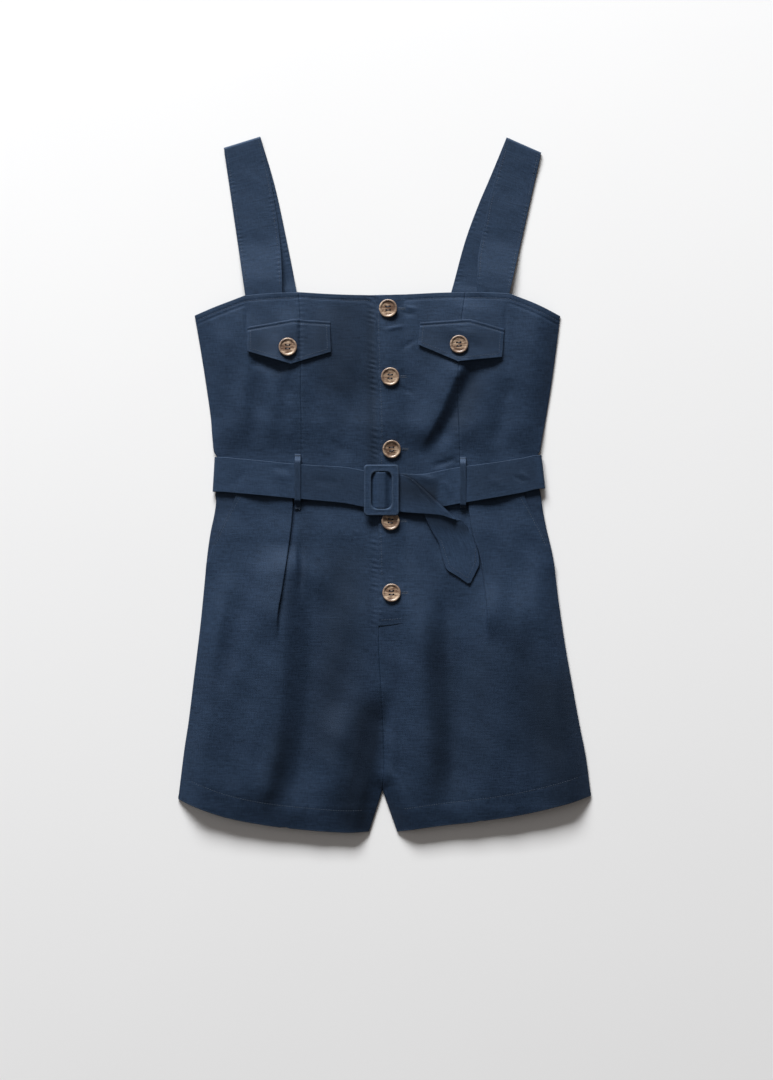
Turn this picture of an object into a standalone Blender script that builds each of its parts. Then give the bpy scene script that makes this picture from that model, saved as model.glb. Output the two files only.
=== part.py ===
"""Sleeveless romper laid flat on a surface, front up, shoulder folds to +Y, hems to -Y.

All tables and sizes are in millimetres and are turned into metres by MM when a piece is made.
Heights are those of the middle of the cloth above the surface the romper lies on.
"""
import math

import bmesh
import bpy

MM = 0.001

# cloth and gaps
CLOTH = 1.0
BELT_CLOTH = 1.2
SEAM_GAP = 0.2
LAID = 1.35
UNDER = 1.5

# buttons, belt and buckle
BUTTON_RADIUS = 10.0
BUTTON_THICK = 2.6
BUTTON_HOLE_RADIUS = 1.15
BUTTON_HOLE_STEP = 2.0
BUCKLE_WIDTH = 38.5
BUCKLE_HEIGHT = 55.8
BUCKLE_WINDOW_WIDTH = 22.2
BUCKLE_WINDOW_HEIGHT = 40.4
BUCKLE_THICK = 2.8
BUCKLE_CENTRE = (-3.4, -7.0, 11.9)
BUCKLE_BAR_WIDTH = 5.0
BUCKLE_BAR_THICK = 1.2
LOOP_WIDTH = 6.6

# pleats
PLEAT_RADIUS = 0.75
PLEAT_REACH = 34.0
ROUND_SIDE = 27.0
ROUND_INNER = 22.0

# outline: x, y down each side seam
SIDE_LEFT = [(-208.0, 185.0), (-201.5, 148.0), (-195.5, 110.0), (-190.2, 72.2), (-188.2, 48.4), (-186.2, 34.0),
             (-183.5, 30.6), (-183.5, -5.0), (-185.9, -11.0), (-185.2, -18.9), (-187.2, -33.7), (-191.2, -52.6),
             (-194.9, -77.9), (-197.6, -105.3), (-202.5, -154.8), (-209.7, -213.8), (-215.7, -262.6),
             (-219.8, -289.1), (-226.9, -346.1)]
SIDE_RIGHT = [(192.3, 184.5), (188.0, 150.0), (182.5, 110.0), (176.1, 70.5), (172.0, 48.4), (170.0, 36.0),
              (168.0, 32.8), (168.4, -1.0), (171.0, -8.0), (173.1, -23.4), (177.7, -48.2), (181.6, -63.8),
              (185.6, -82.9), (191.2, -127.6), (198.9, -179.5), (206.9, -224.2), (214.1, -263.6),
              (221.2, -299.3), (226.9, -342.3)]
WAIST_SIDE_LEFT = (-183.5, 9.0)
WAIST_PRINCESS_LEFT = (-92.0, 0.0)
WAIST_CENTRE = (10.0, -5.0)
WAIST_PRINCESS_RIGHT = (84.0, 0.0)
WAIST_SIDE_RIGHT = (168.2, 13.0)
CROTCH = (-2.3, -336.6)
INNER_LEFT = (-16.7, -381.6)
INNER_RIGHT = (13.6, -381.6)

# seams: x, y
PRINCESS_LEFT = [(-94.6, 210.8), (-92.3, 177.7), (-92.0, 99.0), (-91.3, 68.6), (-92.0, 0.0)]
PRINCESS_RIGHT = [(88.5, 210.5), (82.5, 165.0), (80.6, 99.0), (81.3, 68.6), (84.0, 0.0)]
CENTRE_TOP = [(10.0, 207.2), (10.0, -5.0)]
CENTRE_LOW = [(10.0, -5.0), (10.0, -90.0), (-5.3, -146.0), (-4.0, -223.1), (-2.3, -253.0), (-0.7, -306.5),
              (-2.3, -336.6)]
TOP_SIDE_LEFT = [(-208.0, 185.0), (-183.0, 197.0), (-153.8, 206.5), (-125.0, 209.8), (-94.6, 210.8)]
TOP_CENTRE_LEFT = [(-94.6, 210.8), (-49.1, 208.0), (10.0, 207.2)]
TOP_CENTRE_RIGHT = [(10.0, 207.2), (27.6, 208.2), (60.9, 210.1), (88.5, 210.5)]
TOP_SIDE_RIGHT = [(88.5, 210.5), (136.8, 208.9), (166.0, 200.5), (192.3, 184.5)]
HEM_LEFT = [(-226.9, -346.1), (-207.6, -354.2), (-175.0, -365.3), (-134.3, -373.5), (-93.6, -378.6),
            (-43.6, -382.2), (-16.7, -381.6)]
HEM_RIGHT = [(226.9, -342.3), (197.9, -351.2), (153.2, -361.9), (108.5, -369.1), (56.7, -375.3), (13.6, -381.6)]
POCKET_LEFT = [(-166.0, 7.4), (-163.3, -11.5), (-178.1, -44.2), (-187.5, -63.1), (-192.8, -81.1)]
POCKET_RIGHT = [(154.0, 10.9), (153.3, -11.5), (168.0, -44.0), (177.5, -63.1), (183.4, -81.1)]
PLEAT_LEFT = [(-102.5, 0.9), (-101.5, -26.8), (-106.5, -73.4), (-112.5, -114.0), (-118.5, -150.0),
              (-117.0, -230.0), (-113.0, -376.2)]
PLEAT_RIGHT = [(91.5, 1.4), (92.5, -22.0), (98.3, -59.4), (104.5, -77.0), (114.0, -150.0), (113.0, -230.0),
               (110.0, -368.9)]

# heights: y, height
CROWN = [(215.0, 8.5), (150.0, 10.5), (70.0, 8.6), (30.0, 5.5), (-26.0, 5.5), (-58.0, 6.4), (-92.0, 9.0),
         (-130.0, 11.0), (-335.0, 12.0), (-350.0, 11.4), (-385.0, 8.2)]
EDGE = [(215.0, 1.9), (74.0, 1.9), (48.0, 3.5), (12.0, 3.5), (8.0, 5.1), (-18.0, 5.1), (-34.0, 3.6),
        (-86.0, 3.6), (-108.0, 1.9), (-385.0, 1.9)]
BACK = [(215.0, 0.5), (64.0, 0.5), (44.0, 2.1), (-20.0, 2.1), (-36.0, 0.5), (-385.0, 0.5)]
PLEAT_BACK = [(10.0, 8.0), (-30.0, 8.0), (-112.0, 0.6), (-385.0, 0.6)]
PLEAT_TURN = [(10.0, 1.0), (-108.0, 1.0), (-178.0, 0.0), (-385.0, 0.0)]

# soft folds: way along the cloth as x, y pairs, half width, height
FOLDS = [
    {"way": [(-109.0, -84.0), (-114.0, -183.0), (-123.0, -293.0), (-139.0, -364.0)], "half": 19.0, "height": 4.8},
    {"way": [(-76.0, -150.0), (-79.0, -243.0), (-86.0, -293.0), (-97.0, -364.0)], "half": 20.0, "height": -4.2},
    {"way": [(-50.0, -270.0), (-57.0, -331.0), (-59.0, -366.0)], "half": 16.0, "height": 4.0},
    {"way": [(-16.0, -262.0), (-27.0, -306.0), (-30.0, -346.0)], "half": 12.0, "height": -2.6},
    {"way": [(42.0, -178.0), (47.0, -293.0), (51.0, -366.0)], "half": 15.0, "height": 3.4},
    {"way": [(72.0, -120.0), (76.0, -238.0), (80.0, -366.0)], "half": 18.0, "height": -4.2},
    {"way": [(129.0, -128.0), (124.0, -183.0), (118.0, -293.0), (112.0, -366.0)], "half": 27.0, "height": 3.2},
    {"way": [(15.0, -235.0), (18.0, -310.0), (21.0, -340.0)], "half": 9.0, "height": -1.4},
    {"way": [(86.0, 130.0), (61.0, 81.0), (40.0, 46.0)], "half": 13.0, "height": 2.6},
    {"way": [(100.0, 132.0), (78.0, 81.0), (56.0, 46.0)], "half": 9.0, "height": -2.6},
    {"way": [(-17.0, 205.0), (-16.0, 84.0)], "half": 17.0, "height": -2.6},
]

# straps: outer and inner edge, each from its tucked end up to the shoulder fold
STRAPS = {
    "left": {
        "front_outer": [(-150.8, 191.0), (-153.1, 207.4), (-176.8, 369.0)],
        "front_inner": [(-111.9, 193.0), (-112.2, 213.4), (-112.9, 239.1), (-115.5, 271.7), (-120.0, 304.0),
                        (-127.2, 343.2), (-136.5, 381.5)],
        "back_outer": [(-134.5, 187.0), (-138.2, 211.2), (-176.8, 369.0)],
        "back_inner": [(-93.0, 188.0), (-96.7, 211.3), (-109.0, 274.2), (-121.3, 330.0), (-136.5, 381.5)],
    },
    "right": {
        "front_outer": [(132.5, 191.0), (136.8, 208.0), (172.2, 363.8)],
        "front_inner": [(100.5, 193.0), (101.1, 213.2), (103.1, 252.1), (109.6, 284.6), (114.7, 310.5),
                        (121.2, 334.0), (134.0, 380.6)],
        "back_outer": [(104.0, 187.0), (113.0, 212.0), (172.2, 363.8)],
        "back_inner": [(66.0, 188.0), (73.9, 213.2), (88.8, 267.7), (103.1, 306.7), (117.4, 340.3),
                       (134.0, 380.6)],
    },
}
# share of the strap from the tucked end, height
STRAP_FRONT_RISE = [(0.0, 7.1), (0.12, 7.0), (0.5, 2.7), (0.8, 2.5), (1.0, 4.3)]
STRAP_BACK_RISE = [(0.0, 2.0), (0.1, 2.0), (0.2, 0.5), (1.0, 0.5)]
STRAP_TURN_RADIUS = 1.9

# flaps: corners and the point of the lower edge
FLAPS = {
    "left": {"top": [(-150.5, 171.6), (-100.0, 180.4), (-59.7, 177.7)],
             "low": [(-150.5, 145.0), (-102.6, 130.9), (-58.6, 144.4)]},
    "right": {"top": [(38.9, 176.7), (93.3, 180.3), (131.3, 169.5)],
              "low": [(36.6, 152.2), (80.2, 133.8), (128.8, 138.6)]},
}
FLAP_LIFT = 2.2

# placket edges: x, y from the neckline down
PLACKET_FREE = [(-9.5, 206.6), (-8.0, 136.4), (-5.3, 59.4), (-6.8, -41.8), (-5.3, -102.3), (-6.9, -156.2)]
PLACKET_SEWN = [(28.5, 208.0), (29.0, 136.4), (31.2, 59.4), (30.1, -41.8), (31.2, -102.3), (31.2, -151.8)]

# belt: x, y of the upper edge, x, y of the lower edge, height at the upper edge, height at the lower edge
BELT_RIGHT = [(-0.5, 12.5, -0.5, -28.0, 8.3, 8.3), (37.4, 10.6, 37.4, -29.4, 8.3, 8.3),
              (65.0, 15.2, 65.5, -24.8, 8.3, 8.3), (80.0, 18.1, 81.0, -22.0, 8.4, 9.4),
              (88.0, 19.3, 89.5, -20.5, 9.6, 10.4), (106.0, 21.6, 108.0, -17.4, 9.6, 10.4),
              (127.0, 24.5, 130.0, -13.6, 7.8, 8.8), (150.0, 28.2, 153.0, -9.3, 7.4, 7.8),
              (168.8, 31.6, 173.0, -5.2, 7.0, 7.2)]
BELT_LEFT = [(-183.0, 29.5, -185.2, -8.7, 7.0, 7.2), (-156.0, 27.4, -158.0, -10.6, 7.4, 7.8),
             (-128.0, 24.8, -129.0, -13.2, 8.6, 9.6), (-112.0, 23.0, -113.0, -14.8, 9.7, 10.4),
             (-97.0, 21.8, -98.0, -16.2, 9.7, 10.4), (-84.0, 20.8, -85.0, -17.4, 8.8, 9.2),
             (-43.6, 18.4, -43.6, -21.4, 8.3, 8.3), (-22.7, 14.6, -22.7, -25.4, 8.7, 8.7),
             (-14.5, 12.6, -14.5, -26.5, 9.4, 9.4), (-10.5, 12.6, -10.5, -26.6, 10.7, 10.7),
             (-6.8, 12.6, -6.8, -26.6, 12.5, 12.5), (-0.2, 12.6, -0.2, -26.6, 12.5, 12.5),
             (3.0, 12.6, 3.0, -26.6, 10.7, 10.7), (6.6, 12.4, 6.6, -26.9, 9.5, 9.5),
             (15.8, 11.5, 16.6, -29.6, 9.6, 9.6), (20.5, 10.9, 30.0, -31.0, 10.6, 10.6),
             (24.0, 10.1, 46.0, -32.3, 11.8, 12.0), (27.0, 9.4, 64.0, -34.3, 13.0, 13.8)]
TAIL_FOLD = (28.0, 8.0, 82.0, -40.0, 13.8, 16.2)
TAIL_TURN_RADIUS = 1.7
BELT_TAIL = [(33.0, -5.0, 82.5, -42.5, 10.5, 12.9), (41.0, -25.0, 84.5, -46.5, 10.7, 12.9),
             (47.5, -40.0, 87.5, -52.0, 10.9, 12.9), (53.1, -52.6, 92.0, -60.5, 10.9, 12.9),
             (61.5, -69.5, 98.6, -72.6, 11.0, 13.1), (67.7, -93.1, 104.7, -82.9, 11.4, 13.2),
             (80.0, -101.4, 100.2, -95.2, 12.0, 13.2), (92.4, -109.4, 94.9, -108.6, 12.6, 12.9)]
BELT_TURN_RADIUS = 3.2

# belt loops: x of the middle, y of each end
LOOPS = {"left": {"x": -95.3, "top": 32.7, "low": -28.3, "belt_top": 23.2, "belt_low": -17.6},
         "right": {"x": 86.0, "top": 29.5, "low": -29.5, "belt_top": 21.0, "belt_low": -22.4}}

# buttons: x, y
PLACKET_BUTTONS = [(3.9, 192.1), (6.1, 117.4), (7.7, 38.1), (6.5, -40.8), (7.6, -119.5)]
FLAP_BUTTONS = {"left": (-105.9, 149.6), "right": (81.5, 152.6)}

NAVY_LINEN = {"colour": (0.030, 0.048, 0.085, 1.0), "roughness": 0.9, "metallic": 0.0}
BROWN_HORN = {"colour": (0.20, 0.11, 0.06, 1.0), "roughness": 0.4, "metallic": 0.0}


def clear_scene():
    for item in list(bpy.data.objects):
        bpy.data.objects.remove(item, do_unlink=True)


def make_collections():
    shown = bpy.data.collections.new("romper")
    cutters = bpy.data.collections.new("cutters")
    bpy.context.scene.collection.children.link(shown)
    bpy.context.scene.collection.children.link(cutters)
    return shown, cutters


def make_material(name, look):
    material = bpy.data.materials.new(name)
    material.use_nodes = True
    shader = material.node_tree.nodes["Principled BSDF"]
    shader.inputs["Base Color"].default_value = look["colour"]
    shader.inputs["Roughness"].default_value = look["roughness"]
    shader.inputs["Metallic"].default_value = look["metallic"]
    material.diffuse_color = look["colour"]
    return material


def smooth(share):
    share = max(0.0, min(1.0, share))
    return share * share * (3.0 - 2.0 * share)


def between(rows, at):
    """Height from a table whose first column falls, eased between its rows."""
    if at >= rows[0][0]:
        return rows[0][1]
    for upper, lower in zip(rows, rows[1:]):
        if at >= lower[0]:
            share = smooth((upper[0] - at) / (upper[0] - lower[0]))
            return upper[1] + (lower[1] - upper[1]) * share
    return rows[-1][1]


def along(points, share):
    """Point at a share of the length of a line."""
    spans = [math.dist(a[:2], b[:2]) for a, b in zip(points, points[1:])]
    left = max(0.0, min(1.0, share)) * sum(spans)
    for index, span in enumerate(spans):
        if left <= span or index == len(spans) - 1:
            part = min(1.0, left / span)
            first, last = points[index], points[index + 1]
            return tuple(a + (b - a) * part for a, b in zip(first, last))
        left -= span
    return points[-1]


def by_corners(points, share):
    """Point on a line whose corners are spread evenly over the share."""
    place = max(0.0, min(1.0, share)) * (len(points) - 1)
    index = min(int(place), len(points) - 2)
    part = place - index
    return tuple(a + (b - a) * part for a, b in zip(points[index], points[index + 1]))


def side_at(line, y):
    if y >= line[0][1]:
        return line[0][0]
    for upper, lower in zip(line, line[1:]):
        if y >= lower[1]:
            share = (upper[1] - y) / (upper[1] - lower[1])
            return upper[0] + (lower[0] - upper[0]) * share
    return line[-1][0]


def distance_to(line, x, y):
    best = 1.0e9
    for (ax, ay), (bx, by) in zip(line, line[1:]):
        run = (bx - ax) ** 2 + (by - ay) ** 2
        share = max(0.0, min(1.0, ((x - ax) * (bx - ax) + (y - ay) * (by - ay)) / run))
        best = min(best, math.hypot(x - ax - share * (bx - ax), y - ay - share * (by - ay)))
    return best


def round_over(share):
    return math.sin(0.5 * math.pi * max(0.0, min(1.0, share)))


def rise(x, y):
    """Height of the front cloth at a place seen from above."""
    near = min(x - side_at(SIDE_LEFT, y), side_at(SIDE_RIGHT, y) - x)
    inner = INNER_LEFT if x < CROTCH[0] else INNER_RIGHT
    from_inner = distance_to([CROTCH, inner], x, y)
    edge = between(EDGE, y)
    share = round_over(near / ROUND_SIDE) * round_over(from_inner / ROUND_INNER)
    height = edge + (between(CROWN, y) - edge) * share
    for fold in FOLDS:
        off = distance_to(fold["way"], x, y) / fold["half"]
        if off < 3.0:
            height += fold["height"] * math.exp(-off * off) * share
    return height


def patch(left, right, top, low, u, v):
    """Place in a four-sided piece from its four edges."""
    a, b, c, d = left(v), right(v), top(u), low(u)
    p, q, r, s = left(0.0), right(0.0), left(1.0), right(1.0)
    place = []
    for k in range(2):
        sides = (1 - u) * a[k] + u * b[k] + (1 - v) * c[k] + v * d[k]
        corners = (1 - u) * (1 - v) * p[k] + u * (1 - v) * q[k] + (1 - u) * v * r[k] + u * v * s[k]
        place.append(sides - corners)
    return place[0], place[1]


def inset(x, y, u, v, toward):
    """Draws a piece in at its seams; toward is +1 where u runs to +X."""
    return x + toward * SEAM_GAP * (1 - 2 * u), y - SEAM_GAP * (1 - 2 * v)


def link(name, mesh, look, collection):
    item = bpy.data.objects.new(name, mesh)
    collection.objects.link(item)
    mesh.materials.append(make_material(name, look))
    return item


def cloth_sheet(name, columns, rows, place, look, collection, thickness=CLOTH):
    """Cloth piece: a grid whose columns and rows are put in place by a function, then given its thickness."""
    mesh = bpy.data.meshes.new(name)
    net = bmesh.new()
    bmesh.ops.create_grid(net, x_segments=columns, y_segments=rows, size=1.0)
    for vertex in net.verts:
        column = round((vertex.co.x + 1.0) * 0.5 * columns)
        row = round((1.0 - vertex.co.y) * 0.5 * rows)
        x, y, z = place(column, row)
        vertex.co = (x * MM, y * MM, z * MM)
    net.to_mesh(mesh)
    net.free()
    mesh.shade_smooth()
    item = link(name, mesh, look, collection)
    wall = item.modifiers.new("wall", "SOLIDIFY")
    wall.thickness = thickness * MM
    wall.offset = 0.0
    return item


def ribbon(name, stations, across, look, collection, thickness=CLOTH):
    """Strip from stations of x, y of one edge, x, y of the other edge, height of each."""
    def place(column, row):
        share = column / across
        ax, ay, bx, by, az, bz = stations[row]
        return ax + (bx - ax) * share, ay + (by - ay) * share, az + (bz - az) * share
    return cloth_sheet(name, across, len(stations) - 1, place, look, collection, thickness)


def bodice_panel(name, left, right, top, low, columns, crowd, look, collection):
    """Front bodice piece; crowd sets its columns closer at the side seam."""
    rows = 15

    def place(column, row):
        u = column / columns
        if crowd > 0:
            u = u ** 1.35
        elif crowd < 0:
            u = 1.0 - (1.0 - u) ** 1.35
        v = row / rows
        x, y = patch(lambda t: along(left, t), lambda t: along(right, t), lambda t: along(top, t),
                     lambda t: along(low, t), u, v)
        height = rise(x, y)
        x, y = inset(x, y, u, v, 1.0)
        return x, y, height
    return cloth_sheet(name, columns, rows, place, look, collection)


def upper_part(line, y):
    """Part of a side line above a height, closed at that height."""
    kept = [point for point in line if point[1] > y]
    return kept + [(side_at(line, y), y)]


def lower_part(line, y):
    return [(side_at(line, y), y)] + [point for point in line if point[1] < y]


def pleat_section(y):
    """Steps across a pleat from its upper layer: way in toward the centre and drop."""
    back = between(PLEAT_BACK, y)
    turn = between(PLEAT_TURN, y) * math.pi
    arc = math.pi * PLEAT_RADIUS / 3.0
    angles = [turn / 6, turn / 2, turn * 5 / 6, turn, turn, turn * 5 / 6, turn / 2, turn / 6]
    lengths = [arc, arc, arc, back / 2, back / 2, arc, arc, arc]
    steps = [(0.0, 0.0)]
    for angle, length in zip(angles, lengths):
        steps.append((steps[-1][0] + math.cos(angle) * length, steps[-1][1] + math.sin(angle) * length))
    return steps


def shorts_front(name, side, pocket, pleat, inner_line, hem, toward, look, collection):
    """Front of one leg, from the side seam to the centre, with its pleat laid over toward the centre."""
    outer_columns, pleat_columns, inner_columns, rows = 8, 8, 10, 24
    outer = pocket + [point for point in side if point[1] < pocket[-1][1] - 4.0]
    waist = [pocket[0], WAIST_PRINCESS_LEFT if toward > 0 else WAIST_PRINCESS_RIGHT, WAIST_CENTRE]
    pleat_top = pleat[0]
    pleat_low = pleat[-1]
    hem_outer = [point for point in hem if (point[0] - pleat_low[0]) * toward < -1.0] + [pleat_low]
    waist_outer = [pocket[0], pleat_top]

    def after(v):
        edge = along(pleat, v)
        step = pleat_section(edge[1])[-1]
        return edge[0] + toward * step[0], edge[1]

    waist_inner = [after(0.0)] + waist[1:]
    hem_inner = [after(1.0)] + [point for point in hem if (point[0] - after(1.0)[0]) * toward > 1.0]

    def place(column, row):
        v = row / rows
        edge = along(pleat, v)
        steps = pleat_section(edge[1])
        drop = steps[-1][1]
        if column <= outer_columns:
            u = (column / outer_columns) ** 1.25
            x, y = patch(lambda t: along(outer, t), lambda t: along(pleat, t), lambda t: along(waist_outer, t),
                         lambda t: along(hem_outer, t), u, v)
            height = rise(x, y) + drop * smooth(1.0 - abs(x - edge[0]) / PLEAT_REACH)
            x, y = inset(x, y, u * 0.5, v, toward)
            if column == outer_columns:
                x, y = edge[0], edge[1] - SEAM_GAP * (1 - 2 * v)
            return x, y, height
        if column < outer_columns + pleat_columns:
            step = steps[column - outer_columns]
            x = edge[0] + toward * step[0]
            return x, edge[1] - SEAM_GAP * (1 - 2 * v), rise(x, edge[1]) + drop - step[1]
        u = (column - outer_columns - pleat_columns) / inner_columns
        x, y = patch(after, lambda t: along(inner_line, t), lambda t: along(waist_inner, t),
                     lambda t: along(hem_inner, t), u, v)
        height = rise(x, y)
        x, y = inset(x, y, 0.5 + 0.5 * u, v, toward)
        return x, y, height
    return cloth_sheet(name, outer_columns + pleat_columns + inner_columns, rows, place, look, collection)


def back_height(x, y):
    return between(BACK, y)


def back_panel(name, left, right, top, low, columns, rows, look, collection):
    def place(column, row):
        u, v = column / columns, row / rows
        x, y = patch(lambda t: along(left, t), lambda t: along(right, t), lambda t: along(top, t),
                     lambda t: along(low, t), u, v)
        height = back_height(x, y)
        x, y = inset(x, y, u, v, 1.0)
        return x, y, height
    return cloth_sheet(name, columns, rows, place, look, collection)


def pocket_facing(name, side, pocket, toward, look, collection):
    """Piece of the pocket that shows beside its slanted opening, and runs on under the front."""
    columns, rows = 6, 8
    outer = [(side_at(side, y), y) for y in (7.0, -5.5, -11.0, -18.9, -33.7, -52.6, -74.0)]
    inner = [(x + toward * 12.0, y) for x, y in pocket[:-1]] + [(pocket[-1][0] + toward * 9.0, -74.0)]

    def place(column, row):
        u, v = column / columns, row / rows
        a, b = along(outer, v), along(inner, v)
        x, y = a[0] + (b[0] - a[0]) * u, a[1] + (b[1] - a[1]) * u
        height = rise(x, y) - UNDER
        return x + toward * 0.4 * (1 - u), y, height
    return cloth_sheet(name, columns, rows, place, look, collection)


def flap(name, corners, look, collection):
    columns, rows = 8, 5
    top, low = corners["top"], corners["low"]
    sides = ([top[0], low[0]], [top[-1], low[-1]])

    def place(column, row):
        u, v = column / columns, row / rows
        x, y = patch(lambda t: along(sides[0], t), lambda t: along(sides[1], t), lambda t: by_corners(top, t),
                     lambda t: by_corners(low, t), u, v)
        return x, y, rise(x, y) + LAID + FLAP_LIFT * v
    return cloth_sheet(name, columns, rows, place, look, collection)


def placket(look, collection):
    columns, rows = 3, 36

    def place(column, row):
        u, v = column / columns, row / rows
        a, b = along(PLACKET_FREE, v), along(PLACKET_SEWN, v)
        x, y = a[0] + (b[0] - a[0]) * u, a[1] + (b[1] - a[1]) * u
        return x, y, rise(x, y) + LAID
    return cloth_sheet("placket", columns, rows, place, look, collection)


def turned_over(line, radius, steps, drop):
    """Stations of a half turn about a fold line given as a station."""
    ax, ay, bx, by, az, bz = line
    length = math.hypot(bx - ax, by - ay)
    nx, ny = -(by - ay) / length, (bx - ax) / length
    stations = []
    for index in range(steps + 1):
        angle = math.pi * index / steps
        out = radius * math.sin(angle) - radius
        down = 0.5 * drop * (1.0 - math.cos(angle))
        stations.append((ax + nx * out, ay + ny * out, bx + nx * out, by + ny * out, az - down, bz - down))
    return stations


def strap(name, edges, toward, look, collection):
    """Strap from inside the front, over the shoulder fold and down to the inside of the back."""
    def half(outer, inner, heights, count):
        rows = []
        for index in range(count):
            share = index / count
            a, b = along(outer, share), along(inner, share)
            height = between([(-at, z) for at, z in heights], -share)
            rows.append((a[0], a[1], b[0], b[1], height, height))
        return rows
    front = half(edges["front_outer"], edges["front_inner"], STRAP_FRONT_RISE, 15)
    back = half(edges["back_outer"], edges["back_inner"], STRAP_BACK_RISE, 15)
    outer, inner = edges["front_outer"][-1], edges["front_inner"][-1]
    fold = (outer[0], outer[1], inner[0], inner[1], 2 * STRAP_TURN_RADIUS + 0.5, 2 * STRAP_TURN_RADIUS + 0.5)
    if toward < 0:
        fold = (fold[2], fold[3], fold[0], fold[1], fold[5], fold[4])
    turn = turned_over(fold, STRAP_TURN_RADIUS, 6, 2 * STRAP_TURN_RADIUS)
    if toward < 0:
        turn = [(s[2], s[3], s[0], s[1], s[5], s[4]) for s in turn]
    stations = front + turn + list(reversed(back))
    return ribbon(name, stations, 3, look, collection)


def belt(look, collection):
    """Belt: fixed end at the buckle bar, round the back, over the bar and down as the loose folded tail."""
    right_end = BELT_RIGHT[-1]
    left_end = BELT_LEFT[0]
    reach = BELT_TURN_RADIUS
    right_turn, left_turn = [], []
    for index in range(1, 8):
        angle = math.pi * index / 8
        out, share = reach * math.sin(angle), 0.5 * (1.0 - math.cos(angle))
        top_z = right_end[4] + (0.6 - right_end[4]) * share
        low_z = right_end[5] + (0.6 - right_end[5]) * share
        right_turn.append((right_end[0] + out, right_end[1], right_end[2] + out, right_end[3], top_z, low_z))
        top_z = left_end[4] + (0.6 - left_end[4]) * share
        low_z = left_end[5] + (0.6 - left_end[5]) * share
        left_turn.append((left_end[0] - out, left_end[1], left_end[2] - out, left_end[3], top_z, low_z))
    under = []
    for index in range(9):
        share = index / 8
        row = [a + (b - a) * share for a, b in zip(right_end[:4], left_end[:4])]
        under.append(tuple(row) + (0.6, 0.6))
    stations = list(BELT_RIGHT) + right_turn + under + list(reversed(left_turn)) + list(BELT_LEFT)
    stations += turned_over(TAIL_FOLD, TAIL_TURN_RADIUS, 5, 2 * TAIL_TURN_RADIUS)
    stations += BELT_TAIL
    return ribbon("belt", stations, 4, look, collection, BELT_CLOTH)


def belt_loop(name, spec, look, collection):
    x, half = spec["x"], 0.5 * LOOP_WIDTH
    over = belt_height(x) + 0.5 * BELT_CLOTH + 0.5 * CLOTH + 0.35
    low_rest = rise(x, spec["low"]) + LAID
    top_rest = rise(x, spec["top"]) + LAID
    middle = 0.5 * (spec["belt_low"] + spec["belt_top"])
    path = [(spec["low"], low_rest), (spec["belt_low"] - 5.0, low_rest + 0.3),
            (spec["belt_low"] - 2.2, over - 1.6), (spec["belt_low"] - 0.4, over),
            (spec["belt_low"] + 8.0, over), (middle, over),
            (spec["belt_top"] - 8.0, over - 0.1), (spec["belt_top"] + 0.2, over - 0.5),
            (spec["belt_top"] + 2.4, over - 2.0), (spec["belt_top"] + 5.0, top_rest + 0.3),
            (spec["top"], top_rest)]
    stations = [(x - half, y, x + half, y, z, z) for y, z in path]
    return ribbon(name, stations, 2, look, collection)


def belt_height(x):
    """Height of the belt at its lower edge, above the front."""
    rows = BELT_LEFT[:8] if x < 0 else list(BELT_RIGHT)
    for first, last in zip(rows, rows[1:]):
        if first[0] <= x <= last[0]:
            share = (x - first[0]) / (last[0] - first[0])
            return max(first[5] + (last[5] - first[5]) * share, first[4])
    return rows[0][5]


def rounded_block(width, height, thick, corner, centre, edge):
    """Block with rounded corners seen from above and an eased edge."""
    mesh = bpy.data.meshes.new("block")
    net = bmesh.new()
    bmesh.ops.create_cube(net, size=1.0)
    for vertex in net.verts:
        vertex.co = (vertex.co.x * width * MM, vertex.co.y * height * MM, vertex.co.z * thick * MM)
    upright = [e for e in net.edges if abs(e.verts[0].co.z - e.verts[1].co.z) > 0.5 * thick * MM]
    bmesh.ops.bevel(net, geom=upright, offset=corner * MM, segments=4, profile=0.5, affect="EDGES")
    if edge > 0.0:
        rims = [e for e in net.edges if abs(e.verts[0].co.z - e.verts[1].co.z) < 1.0e-7]
        bmesh.ops.bevel(net, geom=rims, offset=edge * MM, segments=2, profile=0.5, affect="EDGES")
    for vertex in net.verts:
        vertex.co.x += centre[0] * MM
        vertex.co.y += centre[1] * MM
        vertex.co.z += centre[2] * MM
    net.to_mesh(mesh)
    net.free()
    return mesh


def boolean(item, cutter, operation):
    change = item.modifiers.new(operation.lower(), "BOOLEAN")
    change.operation = operation
    change.solver = "EXACT"
    change.object = cutter


def make_cutter(name, mesh, cutters):
    item = bpy.data.objects.new(name, mesh)
    cutters.objects.link(item)
    item.hide_render = True
    item.display_type = "WIRE"
    return item


def buckle(look, shown, cutters):
    """Covered buckle: a rounded frame with a bar across its window under the belt."""
    outer = rounded_block(BUCKLE_WIDTH, BUCKLE_HEIGHT, BUCKLE_THICK, 3.6, BUCKLE_CENTRE, 0.9)
    frame = link("buckle", outer, look, shown)
    window = rounded_block(BUCKLE_WINDOW_WIDTH, BUCKLE_WINDOW_HEIGHT, 3 * BUCKLE_THICK, 3.0,
                           BUCKLE_CENTRE, 0.0)
    boolean(frame, make_cutter("buckle_window", window, cutters), "DIFFERENCE")
    bar_height = BUCKLE_CENTRE[2] - 0.5 * BUCKLE_THICK + 0.5 * BUCKLE_BAR_THICK + 0.05
    bar_centre = (BUCKLE_CENTRE[0], BUCKLE_CENTRE[1], bar_height)
    bar = rounded_block(BUCKLE_BAR_WIDTH, BUCKLE_WINDOW_HEIGHT + 6.0, BUCKLE_BAR_THICK, 0.4, bar_centre, 0.0)
    boolean(frame, make_cutter("buckle_bar", bar, cutters), "UNION")
    return frame


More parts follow.
